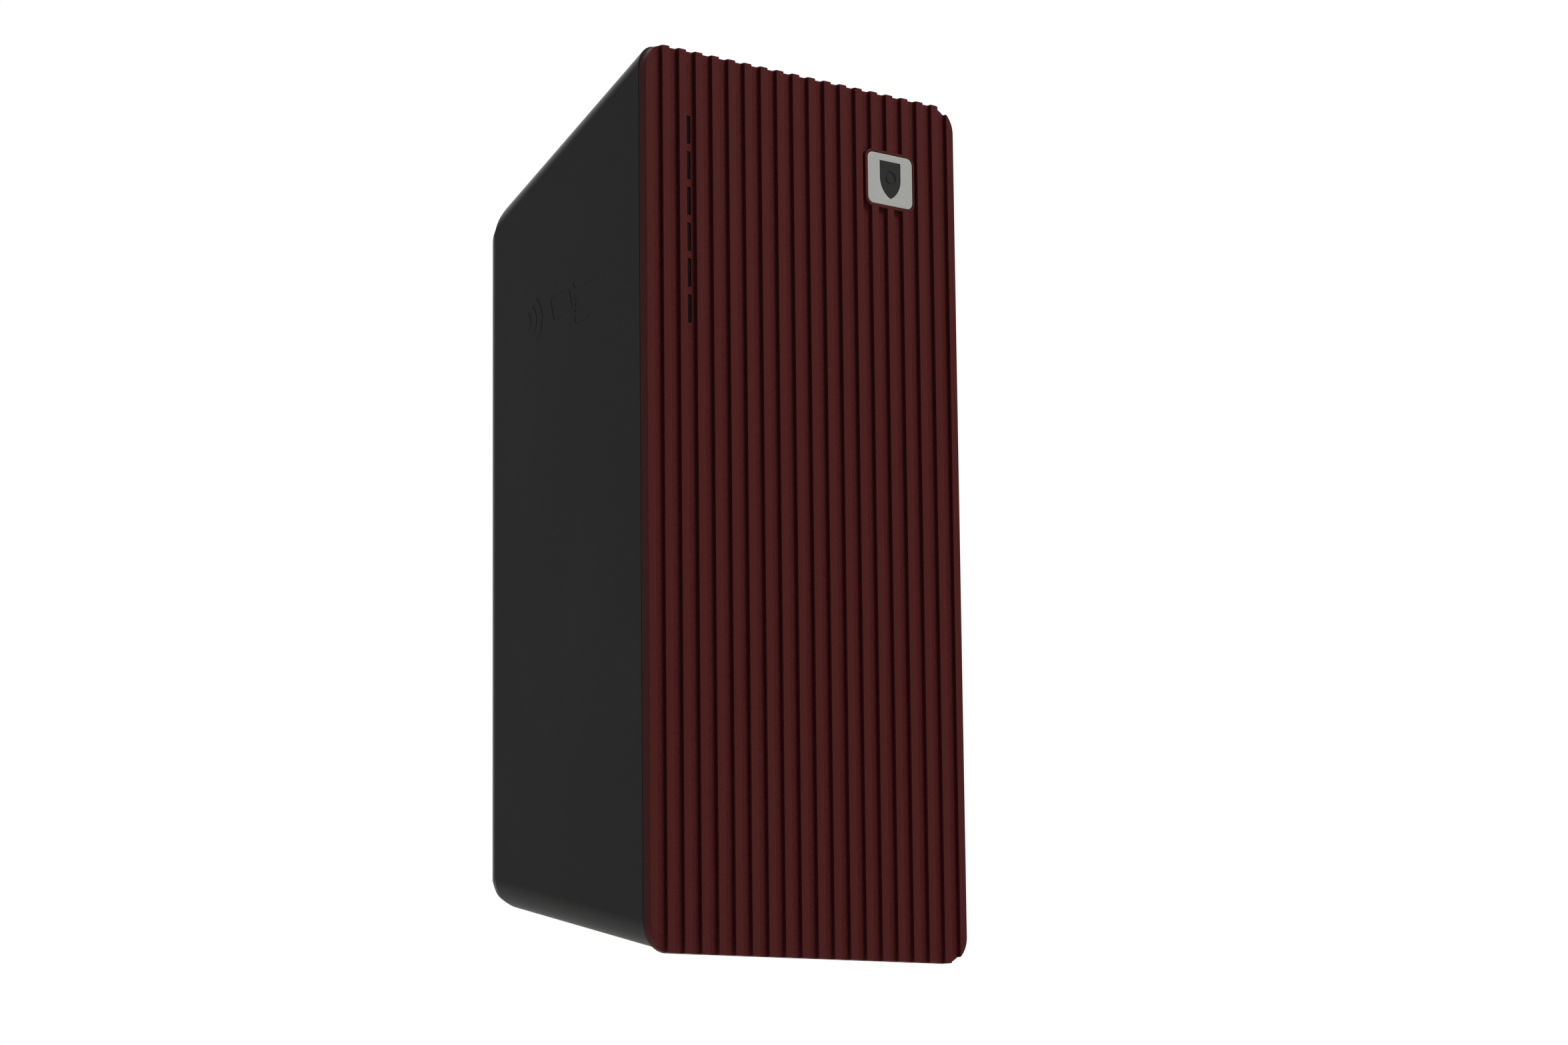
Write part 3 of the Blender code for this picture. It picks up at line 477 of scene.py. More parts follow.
def grain_group():
    """Fine moulded or sprayed texture: a height for bump and a speckle mask."""
    if "moulded_grain" in bpy.data.node_groups:
        return bpy.data.node_groups["moulded_grain"]
    tree, given, out = shader_group(
        "moulded_grain",
        (("Vector", "NodeSocketVector", (0, 0, 0)), ("Scale", "NodeSocketFloat", 3000.0)),
        (("Height", "NodeSocketFloat"), ("Speckle", "NodeSocketFloat")),
    )
    fine = noise(tree, given.outputs["Vector"], given.outputs["Scale"], 3.0)
    cells = tree.nodes.new("ShaderNodeTexVoronoi")
    wire(
        tree,
        (
            (given.outputs["Vector"], cells.inputs["Vector"]),
            (given.outputs["Scale"], cells.inputs["Scale"]),
        ),
    )
    mixed = maths(tree, "MULTIPLY_ADD", cells.outputs["Distance"], 0.5)
    tree.links.new(fine, mixed.node.inputs[2])
    wire(tree, ((mixed, out.inputs["Height"]), (remap(tree, fine, 0.42, 0.60), out.inputs["Speckle"])))
    return tree


def handling_group():
    """Faint wipe marks and settled dust: a soft mask that is stretched and broken up."""
    if "handling_marks" in bpy.data.node_groups:
        return bpy.data.node_groups["handling_marks"]
    tree, given, out = shader_group(
        "handling_marks",
        (("Vector", "NodeSocketVector", (0, 0, 0)), ("Scale", "NodeSocketFloat", 14.0)),
        (("Marks", "NodeSocketFloat"), ("Dust", "NodeSocketFloat")),
    )
    stretch = tree.nodes.new("ShaderNodeMapping")
    stretch.inputs["Scale"].default_value = (1.0, 1.0, 0.45)
    stretch.inputs["Rotation"].default_value = (0.3, 0.2, 0.5)
    tree.links.new(given.outputs["Vector"], stretch.inputs["Vector"])
    wide = noise(tree, stretch.outputs["Vector"], given.outputs["Scale"], 4.0, 0.6)
    speck = noise(tree, given.outputs["Vector"], 900.0, 2.0)
    marks = remap(tree, wide, 0.48, 0.72)
    dust = maths(tree, "MULTIPLY", remap(tree, speck, 0.66, 0.74), marks)
    wire(tree, ((marks, out.inputs["Marks"]), (dust, out.inputs["Dust"])))
    return tree


def use_group(tree, group, vector, **values):
    made = tree.nodes.new("ShaderNodeGroup")
    made.node_tree = group
    tree.links.new(vector, made.inputs["Vector"])
    for label, value in values.items():
        made.inputs[label.replace("_", " ")].default_value = value
    return made.outputs


def blank(name, roughness, metallic=0.0, specular=0.5):
    """A material with its shader and the object coordinates to work from."""
    material = bpy.data.materials.new(name)
    material.use_nodes = True
    tree = material.node_tree
    shader = tree.nodes["Principled BSDF"]
    shader.inputs["Roughness"].default_value = roughness
    shader.inputs["Metallic"].default_value = metallic
    shader.inputs["Specular IOR Level"].default_value = specular
    place = tree.nodes.new("ShaderNodeTexCoord").outputs["Object"]
    return material, tree, shader, place


def bump(tree, shader, height, strength, distance=0.0001):
    made = tree.nodes.new("ShaderNodeBump")
    made.inputs["Strength"].default_value = strength
    made.inputs["Distance"].default_value = distance
    wire(tree, ((height, made.inputs["Height"]), (made.outputs["Normal"], shader.inputs["Normal"])))


def powder_coat(colour):
    """Wine-red powder coat: a fine orange peel, faint wipe marks and a little settled dust."""
    material, tree, shader, place = blank("wine_red_powder_coat", 0.5, specular=0.12)
    grain = use_group(tree, grain_group(), place, Scale=1500.0)
    marks = use_group(tree, handling_group(), place, Scale=11.0)
    dusty = tuple(min(1.0, c * 1.12 + 0.0025) for c in colour)
    deep = tuple(c * 0.94 for c in colour)
    base = tint(tree, grain["Speckle"], deep, dusty)
    rough = remap(tree, marks["Marks"], 0.0, 1.0, 0.47, 0.54)
    wire(tree, ((base, shader.inputs["Base Color"]), (rough, shader.inputs["Roughness"])))
    bump(tree, shader, grain["Height"], 0.10)
    return material


def moulding(name, colour, roughness, grain_scale, strength, specular=0.35, marks_scale=13.0):
    """Moulded plastic with a spark-eroded grain and faint handling marks."""
    material, tree, shader, place = blank(name, roughness, specular=specular)
    grain = use_group(tree, grain_group(), place, Scale=grain_scale)
    marks = use_group(tree, handling_group(), place, Scale=marks_scale)
    worn = tuple(min(1.0, c * 1.18 + 0.0012) for c in colour)
    base = tint(tree, marks["Marks"], colour, worn)
    rough = remap(tree, marks["Marks"], 0.0, 1.0, roughness - 0.01, roughness + 0.025)
    wire(tree, ((base, shader.inputs["Base Color"]), (rough, shader.inputs["Roughness"])))
    bump(tree, shader, grain["Height"], strength)
    return material


def brushed(name, colour, roughness, along, metallic=1.0):
    """Brushed metal: fine lines drawn along one axis, with small scratches."""
    material, tree, shader, place = blank(name, roughness, metallic)
    stretch = tree.nodes.new("ShaderNodeMapping")
    stretch.inputs["Scale"].default_value = tuple(0.03 if axis == along else 1.0 for axis in "XYZ")
    tree.links.new(place, stretch.inputs["Vector"])
    lines = noise(tree, stretch.outputs["Vector"], 2600.0, 3.0)
    marks = use_group(tree, handling_group(), place, Scale=40.0)
    bright = tuple(min(1.0, c * 1.08) for c in colour)
    base = tint(tree, lines, tuple(c * 0.93 for c in colour), bright)
    spread = maths(tree, "MULTIPLY_ADD", lines, 0.10)
    spread.node.inputs[2].default_value = roughness - 0.05
    rough = maths(tree, "MULTIPLY_ADD", marks["Marks"], 0.06)
    tree.links.new(spread, rough.node.inputs[2])
    wire(tree, ((base, shader.inputs["Base Color"]), (rough, shader.inputs["Roughness"])))
    bump(tree, shader, lines, 0.05, 0.00002)
    return material


def plated(name, colour, roughness, scale):
    """Zinc plate: a low-contrast spangle and rolling lines."""
    material, tree, shader, place = blank(name, roughness, 1.0)
    cells = tree.nodes.new("ShaderNodeTexVoronoi")
    cells.inputs["Scale"].default_value = scale
    tree.links.new(place, cells.inputs["Vector"])
    split = tree.nodes.new("ShaderNodeSeparateColor")
    tree.links.new(cells.outputs["Color"], split.inputs["Color"])
    base = tint(tree, split.outputs["Red"], tuple(c * 0.88 for c in colour), colour)
    rough = remap(tree, split.outputs["Green"], 0.0, 1.0, roughness - 0.06, roughness + 0.08)
    wire(tree, ((base, shader.inputs["Base Color"]), (rough, shader.inputs["Roughness"])))
    bump(tree, shader, noise(tree, place, 500.0, 3.0), 0.06)
    return material


def laminate():
    """Circuit board: solder mask with darker bare stretches and fine straight tracks."""
    material, tree, shader, place = blank("solder_mask_laminate", 0.38, specular=0.5)
    tracks = tree.nodes.new("ShaderNodeTexVoronoi")
    tracks.distance = "MANHATTAN"
    tracks.feature = "F1"
    tracks.inputs["Scale"].default_value = 160.0
    tree.links.new(place, tracks.inputs["Vector"])
    lines = maths(tree, "PINGPONG", tracks.outputs["Distance"], 0.06)
    raised = remap(tree, lines, 0.020, 0.034)
    base = tint(tree, raised, (0.004, 0.045, 0.022), (0.010, 0.095, 0.045))
    tree.links.new(base, shader.inputs["Base Color"])
    bump(tree, shader, raised, 0.25, 0.00003)
    return material


def smoked():
    """Smoked light guide: dark, glossy, with a faint moulding swirl."""
    material, tree, shader, place = blank("smoked_light_guide", 0.16, specular=0.1)
    swirl = noise(tree, place, 260.0, 2.0)
    base = tint(tree, swirl, (0.004, 0.004, 0.005), (0.010, 0.010, 0.011))
    rough = remap(tree, swirl, 0.3, 0.7, 0.12, 0.22)
    wire(tree, ((base, shader.inputs["Base Color"]), (rough, shader.inputs["Roughness"])))
    return material


FINISHES = {}


def build_finishes(settings):
    """Makes every finish once, keyed by the record's material slot."""
    if FINISHES:
        return
    FINISHES["wine_red_coat"] = powder_coat(tuple(settings.gateway_cover.colour))
    charcoal = tuple(settings.gateway_housing.colour)
    FINISHES["charcoal_plastic"] = moulding("charcoal_moulding", charcoal, 0.43, 2600.0, 0.2, 0.25)
    FINISHES["black_plastic"] = moulding("black_moulding", (0.008, 0.008, 0.009), 0.45, 2200.0, 0.15)
    FINISHES["black_rubber"] = moulding("seal_rubber", (0.010, 0.010, 0.010), 0.8, 1200.0, 0.3, 0.2)
    FINISHES["chip_black"] = moulding("moulded_epoxy", (0.014, 0.014, 0.016), 0.5, 3200.0, 0.2)
    FINISHES["cable_jacket"] = moulding("lead_jacket", (0.014, 0.014, 0.015), 0.5, 900.0, 0.1)
    FINISHES["dark_inlay"] = moulding("badge_inlay", (0.016, 0.016, 0.0165), 0.4, 2400.0, 0.08, 0.3)
    FINISHES["plated_steel"] = plated("zinc_plate", (0.44, 0.45, 0.465), 0.36, 420.0)
    satin = tuple(settings.gateway_badge.colour)
    FINISHES["satin_metal"] = brushed("satin_badge_metal", satin, 0.5, "X", 0.25)
    FINISHES["black_aluminium"] = brushed("black_anodised", (0.035, 0.035, 0.038), 0.36, "Z")
    FINISHES["circuit_board"] = laminate()
    FINISHES["smoked_lens"] = smoked()


# --- front cover ---------------------------------------------------------------------------


def rib_profile(cover):
    """(x, y) points across the ribbed face, left to right, with rounded edges and feet."""
    floor = FRONT + cover.depth
    edge = cover.edge
    foot = cover.foot
    points = []
    for i in range(cover.ribs):
        left = -HALF + i * cover.pitch
        right = left + cover.width
        if i:
            points += arc((left - cover.draft - foot, floor - foot), foot, 90, 0, 4)
            points += arc((left + edge, FRONT + edge), edge, 180, 270, 4)
        else:
            points.append((-HALF + edge, FRONT))
        if i < cover.ribs - 1:
            points += arc((right - edge, FRONT + edge), edge, 270, 360, 4)
            points += arc((right + cover.draft + foot, floor - foot), foot, 180, 90, 4)
        else:
            points.append((HALF - edge, FRONT))
    return points


def with_corner_columns(points, cover):
    """Adds columns on the flat stretches near the sides, so that the corners stay round."""
    inner = cover.corner - cover.edge
    centre = HALF - cover.corner
    extra = []
    steps = 24
    for i in range(1, steps):
        x = centre + inner * math.sin(math.pi / 2 * i / steps)
        extra += [x, -x]
    filled = [points[0]]
    for (x0, y0), (x1, y1) in zip(points, points[1:]):
        if abs(y0 - y1) < 1e-9:
            filled += [(x, y0) for x in sorted(extra) if x0 + 1e-5 < x < x1 - 1e-5]
        filled.append((x1, y1))
    return filled


def outline_at(x, cover):
    """Height of the cover's inset outline above its middle line at x, and its outward normal (x, z)."""
    inner = cover.corner - cover.edge
    across = max(0.0, abs(x) - (HALF - cover.corner))
    across = min(across, inner)
    rise = math.sqrt(inner**2 - across**2)
    corner_centre = (TOP - BOTTOM) / 2 - cover.corner
    return corner_centre + rise, (math.copysign(across / inner, x), rise / inner)


def ribbed_shell(cover):
    """The cover as columns across the profile, each closed over its rounded end and down to the seam."""
    seam = FRONT + cover.thickness
    middle = (TOP + BOTTOM) / 2
    steps = 4
    bm = bmesh.new()
    columns = []
    for x, y in with_corner_columns(rib_profile(cover), cover):
        height, normal = outline_at(x, cover)
        upper = []
        for j in range(steps + 1):
            angle = math.pi / 2 * j / steps
            out = cover.edge * math.sin(angle)
            back = cover.edge * (1 - math.cos(angle))
            upper.append((x + normal[0] * out, y + back, height + normal[1] * out))
        upper.append((upper[-1][0], seam, upper[-1][2]))
        lower = [(px, py, -pz) for px, py, pz in reversed(upper)]
        columns.append([bm.verts.new((px, py, middle + pz)) for px, py, pz in lower + upper])
    for one, two in zip(columns, columns[1:]):
        for low_one, high_one, low_two, high_two in zip(one, one[1:], two, two[1:]):
            bm.faces.new((low_one, low_two, high_two, high_one))
        bm.faces.new((one[-1], two[-1], two[0], one[0]))
    for column in (columns[0], columns[-1]):
        for j in range(len(column) // 2 - 1):
            bm.faces.new((column[j], column[j + 1], column[-2 - j], column[-1 - j]))
    return mesh_of(bm, "front_cover_shell")


def badge_middle():
    return (BADGE_LOW + BADGE_HIGH) / 2


def badge_slab(name, margin, low, high, radius, edge=0.0):
    grow = Vector((margin, 0, margin))
    bottom = BADGE_LOW - grow
    top = BADGE_HIGH + grow
    return slab(name, (bottom.x, low, bottom.z), (top.x, high, top.z), "Y", radius, edge, 12)


def light_spans(lights, cover, inset):
    """(low x, low z, high x, high z) of each light slot, drawn in by an inset."""
    x = -HALF + lights.groove * cover.pitch - (cover.pitch - cover.width) / 2
    half = lights.width / 2 - inset
    spans = []
    for i in range(lights.count):
        high = TOP - lights.drop - i * lights.pitch
        spans.append((x - half, high - lights.length + inset, x + half, high - inset))
    return spans


def stud_places():
    """Where the four clips stand, from their nodes."""
    places = []
    for i in range(1, 5):
        low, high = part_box(f"cover_clip_{i}")
        places.append(((low[0] + high[0]) / 2, (low[2] + high[2]) / 2))
    return places


class GATEWAY_OT_front_cover(bpy.types.Operator):
    """Builds the ribbed front cover with its badge pad, light slots and studs"""

    bl_idname = "gateway.front_cover"
    bl_label = "Front Cover"

    def execute(self, context):
        cover = context.scene.gateway_cover
        badge = context.scene.gateway_badge
        obj = new_object("ribbed_front_cover", ribbed_shell(cover))
        floor = FRONT + cover.depth
        pad = badge_slab("badge_pad", badge.rim, FRONT, floor + 0.0008, badge.radius + badge.rim, 0.0003)
        seam = FRONT + cover.thickness
        studs = rods("studs", [((x, seam - 0.001, z), (x, COVER_HIGH.y, z), 0.003) for x, z in stud_places()])
        join(obj, pad, studs)
        pocket = badge_slab("badge_pocket", GAP, FRONT - 0.01, FRONT + badge.recess, badge.radius + GAP)
        cut(obj, pocket)
        for x0, z0, x1, z1 in light_spans(context.scene.gateway_lights, cover, 0.0):
            cut(obj, slab("light_slot", (x0, FRONT - 0.01, z0), (x1, seam + 0.01, z1), "Y", 0.0005, 0.0, 4))
        complete(obj, FINISHES["wine_red_coat"], "front_cover", ("front_cover",))
        return {"FINISHED"}


class GATEWAY_OT_light_guide(bpy.types.Operator):
    """Builds the row of smoked light windows on their guide bar"""

    bl_idname = "gateway.light_guide"
    bl_label = "Light Guide"

    def execute(self, context):
        lights = context.scene.gateway_lights
        x0, z0, x1, z1 = light_spans(lights, context.scene.gateway_cover, GAP)[0]
        start = Vector(((x0 + x1) / 2, 0.0, (z0 + z1) / 2))
        low = (x0 - start.x, GUIDE_LOW.y, z0 - start.z)
        high = (x1 - start.x, GUIDE_HIGH.y - 0.0006, z1 - start.z)
        lens = slab("lens", low, high, "Y", 0.0004, 0.00015, 4)
        step = (0, 0, -lights.pitch)
        obj = rows("light_windows", lens, FINISHES["smoked_lens"], start, lights.count, step)
        bar_low = (GUIDE_LOW.x, GUIDE_HIGH.y - 0.0012, GUIDE_LOW.z)
        bar = slab("guide_bar", bar_low, GUIDE_HIGH, "Y", 0.001, 0.0002)
        join(obj, bar)
        complete(obj, FINISHES["smoked_lens"], "front_cover", ("light_guide",))
        return {"FINISHED"}


def shield_outline(size):
    """(x, z) points of a plain shield about the badge's middle: a flat top and two arcs."""
    middle = badge_middle()
    radius = size * 1.6
    tip = math.degrees(math.acos(1 - size / radius))
    side = arc((size - radius, size * 0.14), radius, 0, -tip, 24)
    right = [(size, size * 1.34)] + side[:-1] + [(0.0, side[-1][1])]
    left = [(-x, z) for x, z in reversed(right[:-1])]
    return [(middle.x + x, middle.z + z) for x, z in right + left]


class GATEWAY_OT_badge(bpy.types.Operator):
    """Builds the satin badge and its inlaid shield"""

    bl_idname = "gateway.badge"
    bl_label = "Badge"

    def execute(self, context):
        badge = context.scene.gateway_badge
        middle = badge_middle()
        back = FRONT + badge.recess - GAP
        plate = new_object("satin_badge", badge_slab("satin_badge", 0.0, FRONT, back, badge.radius, 0.00025))
        depth = 0.0006
        cut(plate, prism("shield_pocket", shield_outline(0.0064), FRONT - 0.01, FRONT + depth))
        complete(plate, FINISHES["satin_metal"], "front_cover", ("badge_plate",))

        front = FRONT + 0.00008
        shield = prism("shield_inlay", shield_outline(0.00628), front, FRONT + depth - GAP / 6)
        inlay = new_object("shield_inlay", shield)
        centre = Vector((middle.x, front, middle.z + 0.0008))
        deep = Vector((0, 0.0003, 0))
        cut(inlay, rods("ring", [(centre - 10 * deep, centre + deep, 0.0034)], 48))
        join(inlay, rods("core", [(centre, centre + 1.2 * deep, 0.0021)], 48))
        complete(inlay, FINISHES["dark_inlay"], "front_cover", ("badge_emblem",))
        return {"FINISHED"}


# --- rear housing --------------------------------------------------------------------------


def tapered_block(name, housing, front, rear, inset, segments):
    """The housing's wedge, pulled in by an inset, with its edges rounded by their own widths."""
    seam = FRONT + bpy.context.scene.gateway_cover.thickness
    bm = bmesh.new()
    for vert in bmesh.ops.create_cube(bm, size=1.0)["verts"]:
        y = front if vert.co.y < 0 else rear
        if vert.co.z > 0:
            z = TOP - housing.top_slope * (y - seam) - inset * math.hypot(1, housing.top_slope)
        else:
            low = BOTTOM + housing.base_step + housing.base_slope * (y - seam)
            z = low + inset * math.hypot(1, housing.base_slope)
        vert.co = (math.copysign(HALF - inset, vert.co.x), y, z)
    weights = bm.edges.layers.float.new("bevel_weight_edge")
    for edge in bm.edges:
        one, two = (vert.co for vert in edge.verts)
        if abs(one.y - two.y) > 0.001:
            width = housing.top_corner if one.z > 0 else housing.corner
        elif abs(one.y - front) < 0.001:
            width = 0.0
        elif abs(one.z - two.z) > 0.001:
            width = housing.rear_side
        else:
            width = housing.rear_top if one.z > 0 else housing.rear_base
        edge[weights] = max(width - inset, 0.0) / housing.rear_top
    obj = new_object(name, mesh_of(bm, name))
    bevel = obj.modifiers.new("rounding", "BEVEL")
    bevel.width = housing.rear_top
    bevel.segments = segments
    bevel.limit_method = "WEIGHT"
    bpy.context.view_layer.update()
    return bake(obj)


def soften_rim(obj, rim):
    """Rounds the outline of the front opening a little, so that the seam catches light."""
    bm = bmesh.new()
    bm.from_mesh(obj.data)
    edges = [e for e in bm.edges if all(abs(v.co.y - rim) < 1e-6 for v in e.verts)]
    bmesh.ops.bevel(bm, geom=edges, offset=0.0003, segments=2, profile=0.5, affect="EDGES")
    bm.to_mesh(obj.data)
    bm.free()


def wall_ledge(edge, front):
    """The ledge for the gasket, as a frame that stands inside the housing's mouth."""
    low = (-edge, front, BOTTOM + 0.0045)
    high = (edge, front + 0.0025, TOP - 0.0062)
    border = 0.006
    obj = new_object("ledge", slab("ledge", low, high, "Y", 0.010))
    hole_low = (low[0] + border, low[1] - 0.01, low[2] + border)
    hole_high = (high[0] - border, high[1] + 0.01, high[2] - border)
    cut(obj, slab("ledge_hole", hole_low, hole_high, "Y", 0.004))
    mesh = obj.data
    bpy.data.objects.remove(obj, do_unlink=True)
    return mesh


def tap_mark(mark):
    """Engraving tools for the tap pictogram: three waves, a tilted card and a hand that holds it."""
    centre = Vector((0, FRONT + mark.behind, TOP - mark.drop))
    x = -HALF - mark.stroke + mark.depth

    def to_wall(points):
        return [(x, centre.y - u * 0.001, centre.z + v * 0.001) for u, v in points]

    def turn(points, pivot, degrees):
        angle = math.radians(degrees)
        turned = []
        for u, v in points:
            du = u - pivot[0]
            dv = v - pivot[1]
            turned.append(
                (
                    pivot[0] + du * math.cos(angle) - dv * math.sin(angle),
                    pivot[1] + du * math.sin(angle) + dv * math.cos(angle),
                )
            )
        return turned

    tools = []
    for i, radius in enumerate((6.0, 10.0, 14.0)):
        points = arc((-25.5, -3.0), radius, -42, 42, 20)
        tools.append(stroke(f"wave_{i}", to_wall(points), mark.stroke))
    card = arc((7.0, 4.5), 1.6, 0, 90, 5) + arc((-3.0, 4.5), 1.6, 90, 180, 5)
    card += arc((-3.0, -2.5), 1.6, 180, 270, 5) + arc((7.0, -2.5), 1.6, 270, 360, 5)
    tools.append(stroke("card", to_wall(turn(card, (2.0, 1.0), 16)), mark.stroke, True))
    thumb = arc((13.0, 9.6), 3.0, 200, 290, 8) + [(18.5, 6.6), (23.5, 8.4)]
    palm = arc((13.5, -7.0), 2.2, 150, 270, 8) + [(18.5, -8.4), (23.5, -5.6)]
    tools.append(stroke("thumb", to_wall(thumb), mark.stroke))
    tools.append(stroke("palm", to_wall(palm), mark.stroke))
    for i in range(3):
        knuckle = arc((12.6, -3.2 + i * 2.8), 1.0, 100, 260, 6)
        tools.append(stroke(f"fingertip_{i}", to_wall(knuckle), mark.stroke))
    return tools


class GATEWAY_OT_rear_housing(bpy.types.Operator):
    """Builds the tapered rear housing with its bay, bosses, vents and engraved tap mark"""

    bl_idname = "gateway.rear_housing"
    bl_label = "Rear Housing"

    def execute(self, context):
        housing = context.scene.gateway_housing
        wall = housing.wall
        inner_half = HALF - wall
        recess_floor = REAR - 0.006
        rear_inside = recess_floor - wall
        obj = tapered_block("tapered_rear_housing", housing, RIM, REAR, 0.0, 12)
        soften_rim(obj, RIM)
        cavity = tapered_block("cavity", housing, RIM - 0.001, rear_inside, wall, 8)
        hollow = cavity.data
        bpy.data.objects.remove(cavity, do_unlink=True)
        recess = slab("recess", (-0.070, recess_floor, -0.105), (0.070, 0.01, 0.105), "Y", 0.010)
        slots = [
            ((x - 0.0062, rear_inside - 0.01, z - 0.0090), (x + 0.0062, 0.0, z + 0.0018))
            for x in (-0.045, 0.045)
            for z in (-0.060, 0.060)
        ]
        cut(obj, hollow, recess, boxes("hook_slots", slots))

        edge = inner_half + 0.001
        ledge_front = RIM + 0.0071
        additions = [wall_ledge(edge, ledge_front)]
        board = [(x, z) for x in (-0.076, 0.076) for z in (-0.090, 0.024)]
        for x in (-0.080, 0.080):
            for low, high in ((0.189, 0.200), (-0.170, -0.158)):
                boss = ((x - 0.006, ledge_front + 0.001, low), (x + 0.006, -0.092, high))
                additions.append(boxes("cover_boss", [boss]))
        bay_front = -0.0715
        bay_back = bay_front - wall
        additions.append(slab("bay_wall", (-edge, bay_back, -0.1672), (edge, bay_front, -0.134), "Y", 0.010))
        additions.append(boxes("bay_wall_top", [((-edge, bay_back, -0.156), (edge, bay_front, -0.131))]))
        bosses = [((x, rear_inside + 0.001, z), (x, -0.0181, z), 0.004) for x, z in board]
        additions.append(rods("board_bosses", bosses))
        join(obj, *additions)

        removals = [slab("bay_mouth", (-0.080, -0.070, -0.190), (0.080, -0.014, -0.150), "Z", 0.005)]
        holes = [((x, -0.110, z), (x, -0.085, z), 0.0018) for x in (-0.080, 0.080) for z in (-0.164, 0.195)]
        holes += [((x, -0.011, z), (x, -0.030, z), 0.0016) for x, z in board]
        removals.append(rods("screw_holes", holes, 16))
        fan = (FAN_LOW + FAN_HIGH) / 2
        for i in range(6):
            y = fan.y + (i - 2.5) * 0.0078
            low = (HALF - 0.006, y - 0.0017, fan.z - 0.020)
            removals.append(slab("side_vent", low, (HALF + 0.01, y + 0.0017, 0.005), "X", 0.0016, 0.0, 5))
        for i in range(9):
            x = (i - 4) * 0.017
            for y in (-0.089, -0.082):
                low = (x - 0.0055, y - 0.0015, -0.190)
                removals.append(slab("base_vent", low, (x + 0.0055, y + 0.0015, -0.160), "Z", 0.0014, 0.0, 5))
        cut(obj, *removals)
        cut(obj, *tap_mark(context.scene.gateway_mark))
        complete(obj, FINISHES["charcoal_plastic"], "appliance", ("rear_housing",), 25)
        return {"FINISHED"}


# --- details ------------------------------------------------------------------------------


class GATEWAY_OT_contacts(bpy.types.Operator):
    """Adds the eight contacts inside each network jack"""

    bl_idname = "gateway.contacts"
    bl_label = "Jack Contacts"

    def execute(self, context):
        first_low, first_high = (Vector(corner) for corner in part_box(NETWORK_JACKS[0]))
        second_low, _ = (Vector(corner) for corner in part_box(NETWORK_JACKS[1]))
        middle = (first_low + first_high) / 2
        blade = boxes("blade", [((-0.00025, -0.0009, 0.0), (0.00025, 0.0005, 0.0085))])
        count = 8
        spacing = 0.00102
        start = (middle.x - (count - 1) / 2 * spacing, middle.y + 0.0030, first_low.z + 0.0030)
        step = (spacing, 0, 0)
        apart = (second_low.x - first_low.x, 0, 0)
        steel = FINISHES["plated_steel"]
        obj = rows("network_contacts", blade, steel, start, count, step, len(NETWORK_JACKS), apart)
        complete(obj, steel, "appliance")
        return {"FINISHED"}


class GATEWAY_OT_heatsink(bpy.types.Operator):
    """Builds the finned heatsink"""

    bl_idname = "gateway.heatsink"
    bl_label = "Heatsink"

    def execute(self, context):
        depth = SINK_HIGH.y - SINK_LOW.y
        height = SINK_HIGH.z - SINK_LOW.z
        thickness = 0.0012
        fin = slab("fin", (0, 0, 0), (thickness, depth - 0.004, height), "Z", 0.0004, 0.0002, 3)
        count = 14
        pitch = (SINK_HIGH.x - SINK_LOW.x - thickness) / (count - 1)
        obj = rows("fins", fin, FINISHES["black_aluminium"], SINK_LOW, count, (pitch, 0, 0))
        base_low = (SINK_LOW.x, SINK_HIGH.y - 0.005, SINK_LOW.z)
        join(obj, boxes("sink_base", [(base_low, SINK_HIGH)]))
        obj.name = "finned_heatsink"
        complete(obj, FINISHES["black_aluminium"], "appliance", ("heatsink",))
        return {"FINISHED"}


class GATEWAY_OT_finishes(bpy.types.Operator):
    """Gives every carried-over node the finish of its material slot"""

    bl_idname = "gateway.finishes"
    bl_label = "Finishes"

    def execute(self, context):
        for entry in frame["record"]["subparts"]:
            node = frame["nodes"][entry["node"]]
            node.data.materials.clear()
            node.data.materials.append(FINISHES[entry["material_slot"]])
        return {"FINISHED"}


# --- stage --------------------------------------------------------------------------------

# Each soft box: where it stands, its width and height in metres, and its power in watts.
SOFT_BOXES = {
    "key_softbox": ((0.75, -2.0, 2.5), (1.0, 1.0), 80),
    "left_fill": ((-2.2, 0.4, 0.4), (1.2, 1.2), 4),
    "front_strip": ((0.0, -2.2, 0.36), (0.3, 1.5), 3),
}
DIM_SURROUNDINGS = 0.13
BACKDROP_GLOW = 1.5
GLOW_STARTS, GLOW_FULL = 0.26, 0.75  # cosine of the angle off the view's heading
FLOOR_HALF = 3.0
FLOOR_THICKNESS = 0.02
SENSOR_WIDTH = 36.0


def soft_box(name, place, target, size, power):
    light = bpy.data.lights.new(name, "AREA")
    light.shape = "RECTANGLE"
    light.size = size[0]
    light.size_y = size[1]
    light.energy = power
    obj = bpy.data.objects.new(name, light)
    obj.location = place
    obj.rotation_euler = (Vector(target) - Vector(place)).to_track_quat("-Z", "Y").to_euler()
    bpy.context.scene.collection.objects.link(obj)


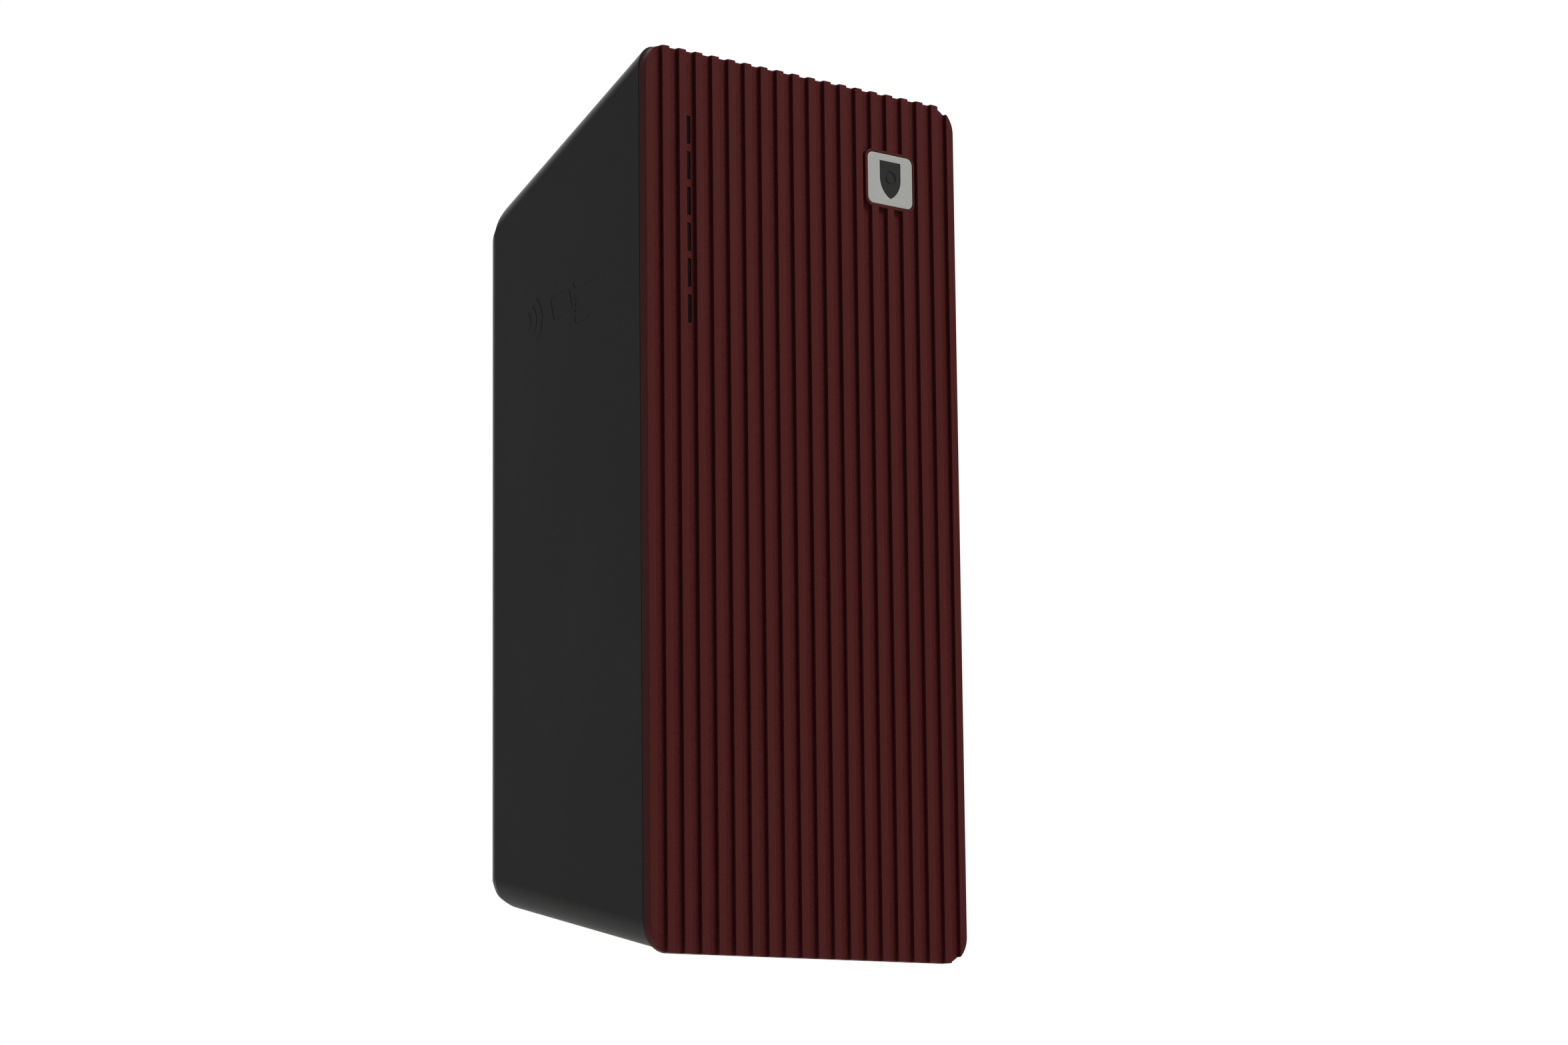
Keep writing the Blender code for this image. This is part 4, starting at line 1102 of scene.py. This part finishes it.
def pale_world(scene, away):
    """White where the camera sees it. As a light it is dim, and brighter from the backdrop's side."""
    world = bpy.data.worlds.new("pale_studio")
    scene.world = world
    world.use_nodes = True
    tree = world.node_tree
    shown = tree.nodes.new("ShaderNodeBackground")
    shown.inputs["Color"].default_value = (1, 1, 1, 1)
    lit = tree.nodes["Background"]
    lit.inputs["Color"].default_value = (1, 1, 1, 1)
    place = tree.nodes.new("ShaderNodeTexCoord")
    facing = tree.nodes.new("ShaderNodeVectorMath")
    facing.operation = "DOT_PRODUCT"
    facing.inputs[1].default_value = away
    tree.links.new(place.outputs["Generated"], facing.inputs[0])
    value = facing.outputs["Value"]
    strength = remap(tree, value, GLOW_STARTS, GLOW_FULL, DIM_SURROUNDINGS, BACKDROP_GLOW)
    tree.links.new(strength, lit.inputs["Strength"])
    path = tree.nodes.new("ShaderNodeLightPath")
    mix = tree.nodes.new("ShaderNodeMixShader")
    wire(
        tree,
        (
            (path.outputs["Is Camera Ray"], mix.inputs["Fac"]),
            (lit.outputs["Background"], mix.inputs[1]),
            (shown.outputs["Background"], mix.inputs[2]),
            (mix.outputs["Shader"], tree.nodes["World Output"].inputs["Surface"]),
        ),
    )


class GATEWAY_OT_stage(bpy.types.Operator):
    """Sets the floor, the lights, the pale surroundings and the camera"""

    bl_idname = "gateway.stage"
    bl_label = "Stage"

    def execute(self, context):
        scene = context.scene
        settings = scene.gateway_stage
        middle = (Vector(CAD_LOW) + Vector(CAD_HIGH)) / 2
        corners = (
            Vector((-FLOOR_HALF, -FLOOR_HALF, settings.floor - FLOOR_THICKNESS)),
            Vector((FLOOR_HALF, FLOOR_HALF, settings.floor)),
        )
        floor = new_object("studio_floor", boxes("studio_floor", [corners]))
        paint, _, shader, _ = blank("pale_floor_paint", 0.8)
        shader.inputs["Base Color"].default_value = (0.8, 0.8, 0.79, 1)
        floor.data.materials.append(paint)
        for name, (place, size, power) in SOFT_BOXES.items():
            soft_box(name, place, middle, size, power)
        scene.view_settings.view_transform = "Standard"

        forward = Vector(
            (
                math.sin(settings.azimuth) * math.cos(settings.rise),
                math.cos(settings.azimuth) * math.cos(settings.rise),
                math.sin(settings.rise),
            )
        )
        pale_world(scene, forward)
        right = forward.cross(Vector((0, 0, 1))).normalized()
        up = right.cross(forward)
        aim = middle + right * settings.aim_right + up * settings.aim_up
        turn = Matrix((right, up, -forward)).transposed() @ Matrix.Rotation(settings.roll, 3, "Z")
        camera = bpy.data.objects.new("camera", bpy.data.cameras.new("camera"))
        camera.data.lens = settings.lens
        camera.data.sensor_width = SENSOR_WIDTH
        camera.matrix_world = Matrix.Translation(aim - forward * settings.distance) @ turn.to_4x4()
        scene.collection.objects.link(camera)
        scene.camera = camera
        return {"FINISHED"}


class GATEWAY_PT_sidebar(bpy.types.Panel):
    """Lists the gateway's pieces and sizes"""

    bl_label = "Gateway"
    bl_idname = "GATEWAY_PT_sidebar"
    bl_space_type = "VIEW_3D"
    bl_region_type = "UI"
    bl_category = "Gateway"

    def draw(self, context):
        for operator in OPERATORS:
            self.layout.operator(operator.bl_idname)
        for name, group in GROUPS.items():
            box = self.layout.box()
            box.label(text=group.__name__.replace("Settings", ""))
            for key in group.__annotations__:
                box.prop(getattr(context.scene, name), key)


OPERATORS = (
    GATEWAY_OT_finishes,
    GATEWAY_OT_front_cover,
    GATEWAY_OT_light_guide,
    GATEWAY_OT_badge,
    GATEWAY_OT_rear_housing,
    GATEWAY_OT_contacts,
    GATEWAY_OT_heatsink,
    GATEWAY_OT_stage,
)
CLASSES = (*GROUPS.values(), *OPERATORS, GATEWAY_PT_sidebar)


def register():
    for cls in CLASSES:
        bpy.utils.register_class(cls)
    for name, group in GROUPS.items():
        setattr(bpy.types.Scene, name, bpy.props.PointerProperty(type=group))


def unregister():
    for name in GROUPS:
        delattr(bpy.types.Scene, name)
    for cls in reversed(CLASSES):
        bpy.utils.unregister_class(cls)


def main():
    register()
    build_finishes(bpy.context.scene)
    for operator in OPERATORS:
        family, action = operator.bl_idname.split(".")
        getattr(getattr(bpy.ops, family), action)()


if __name__ == "__main__":
    main()
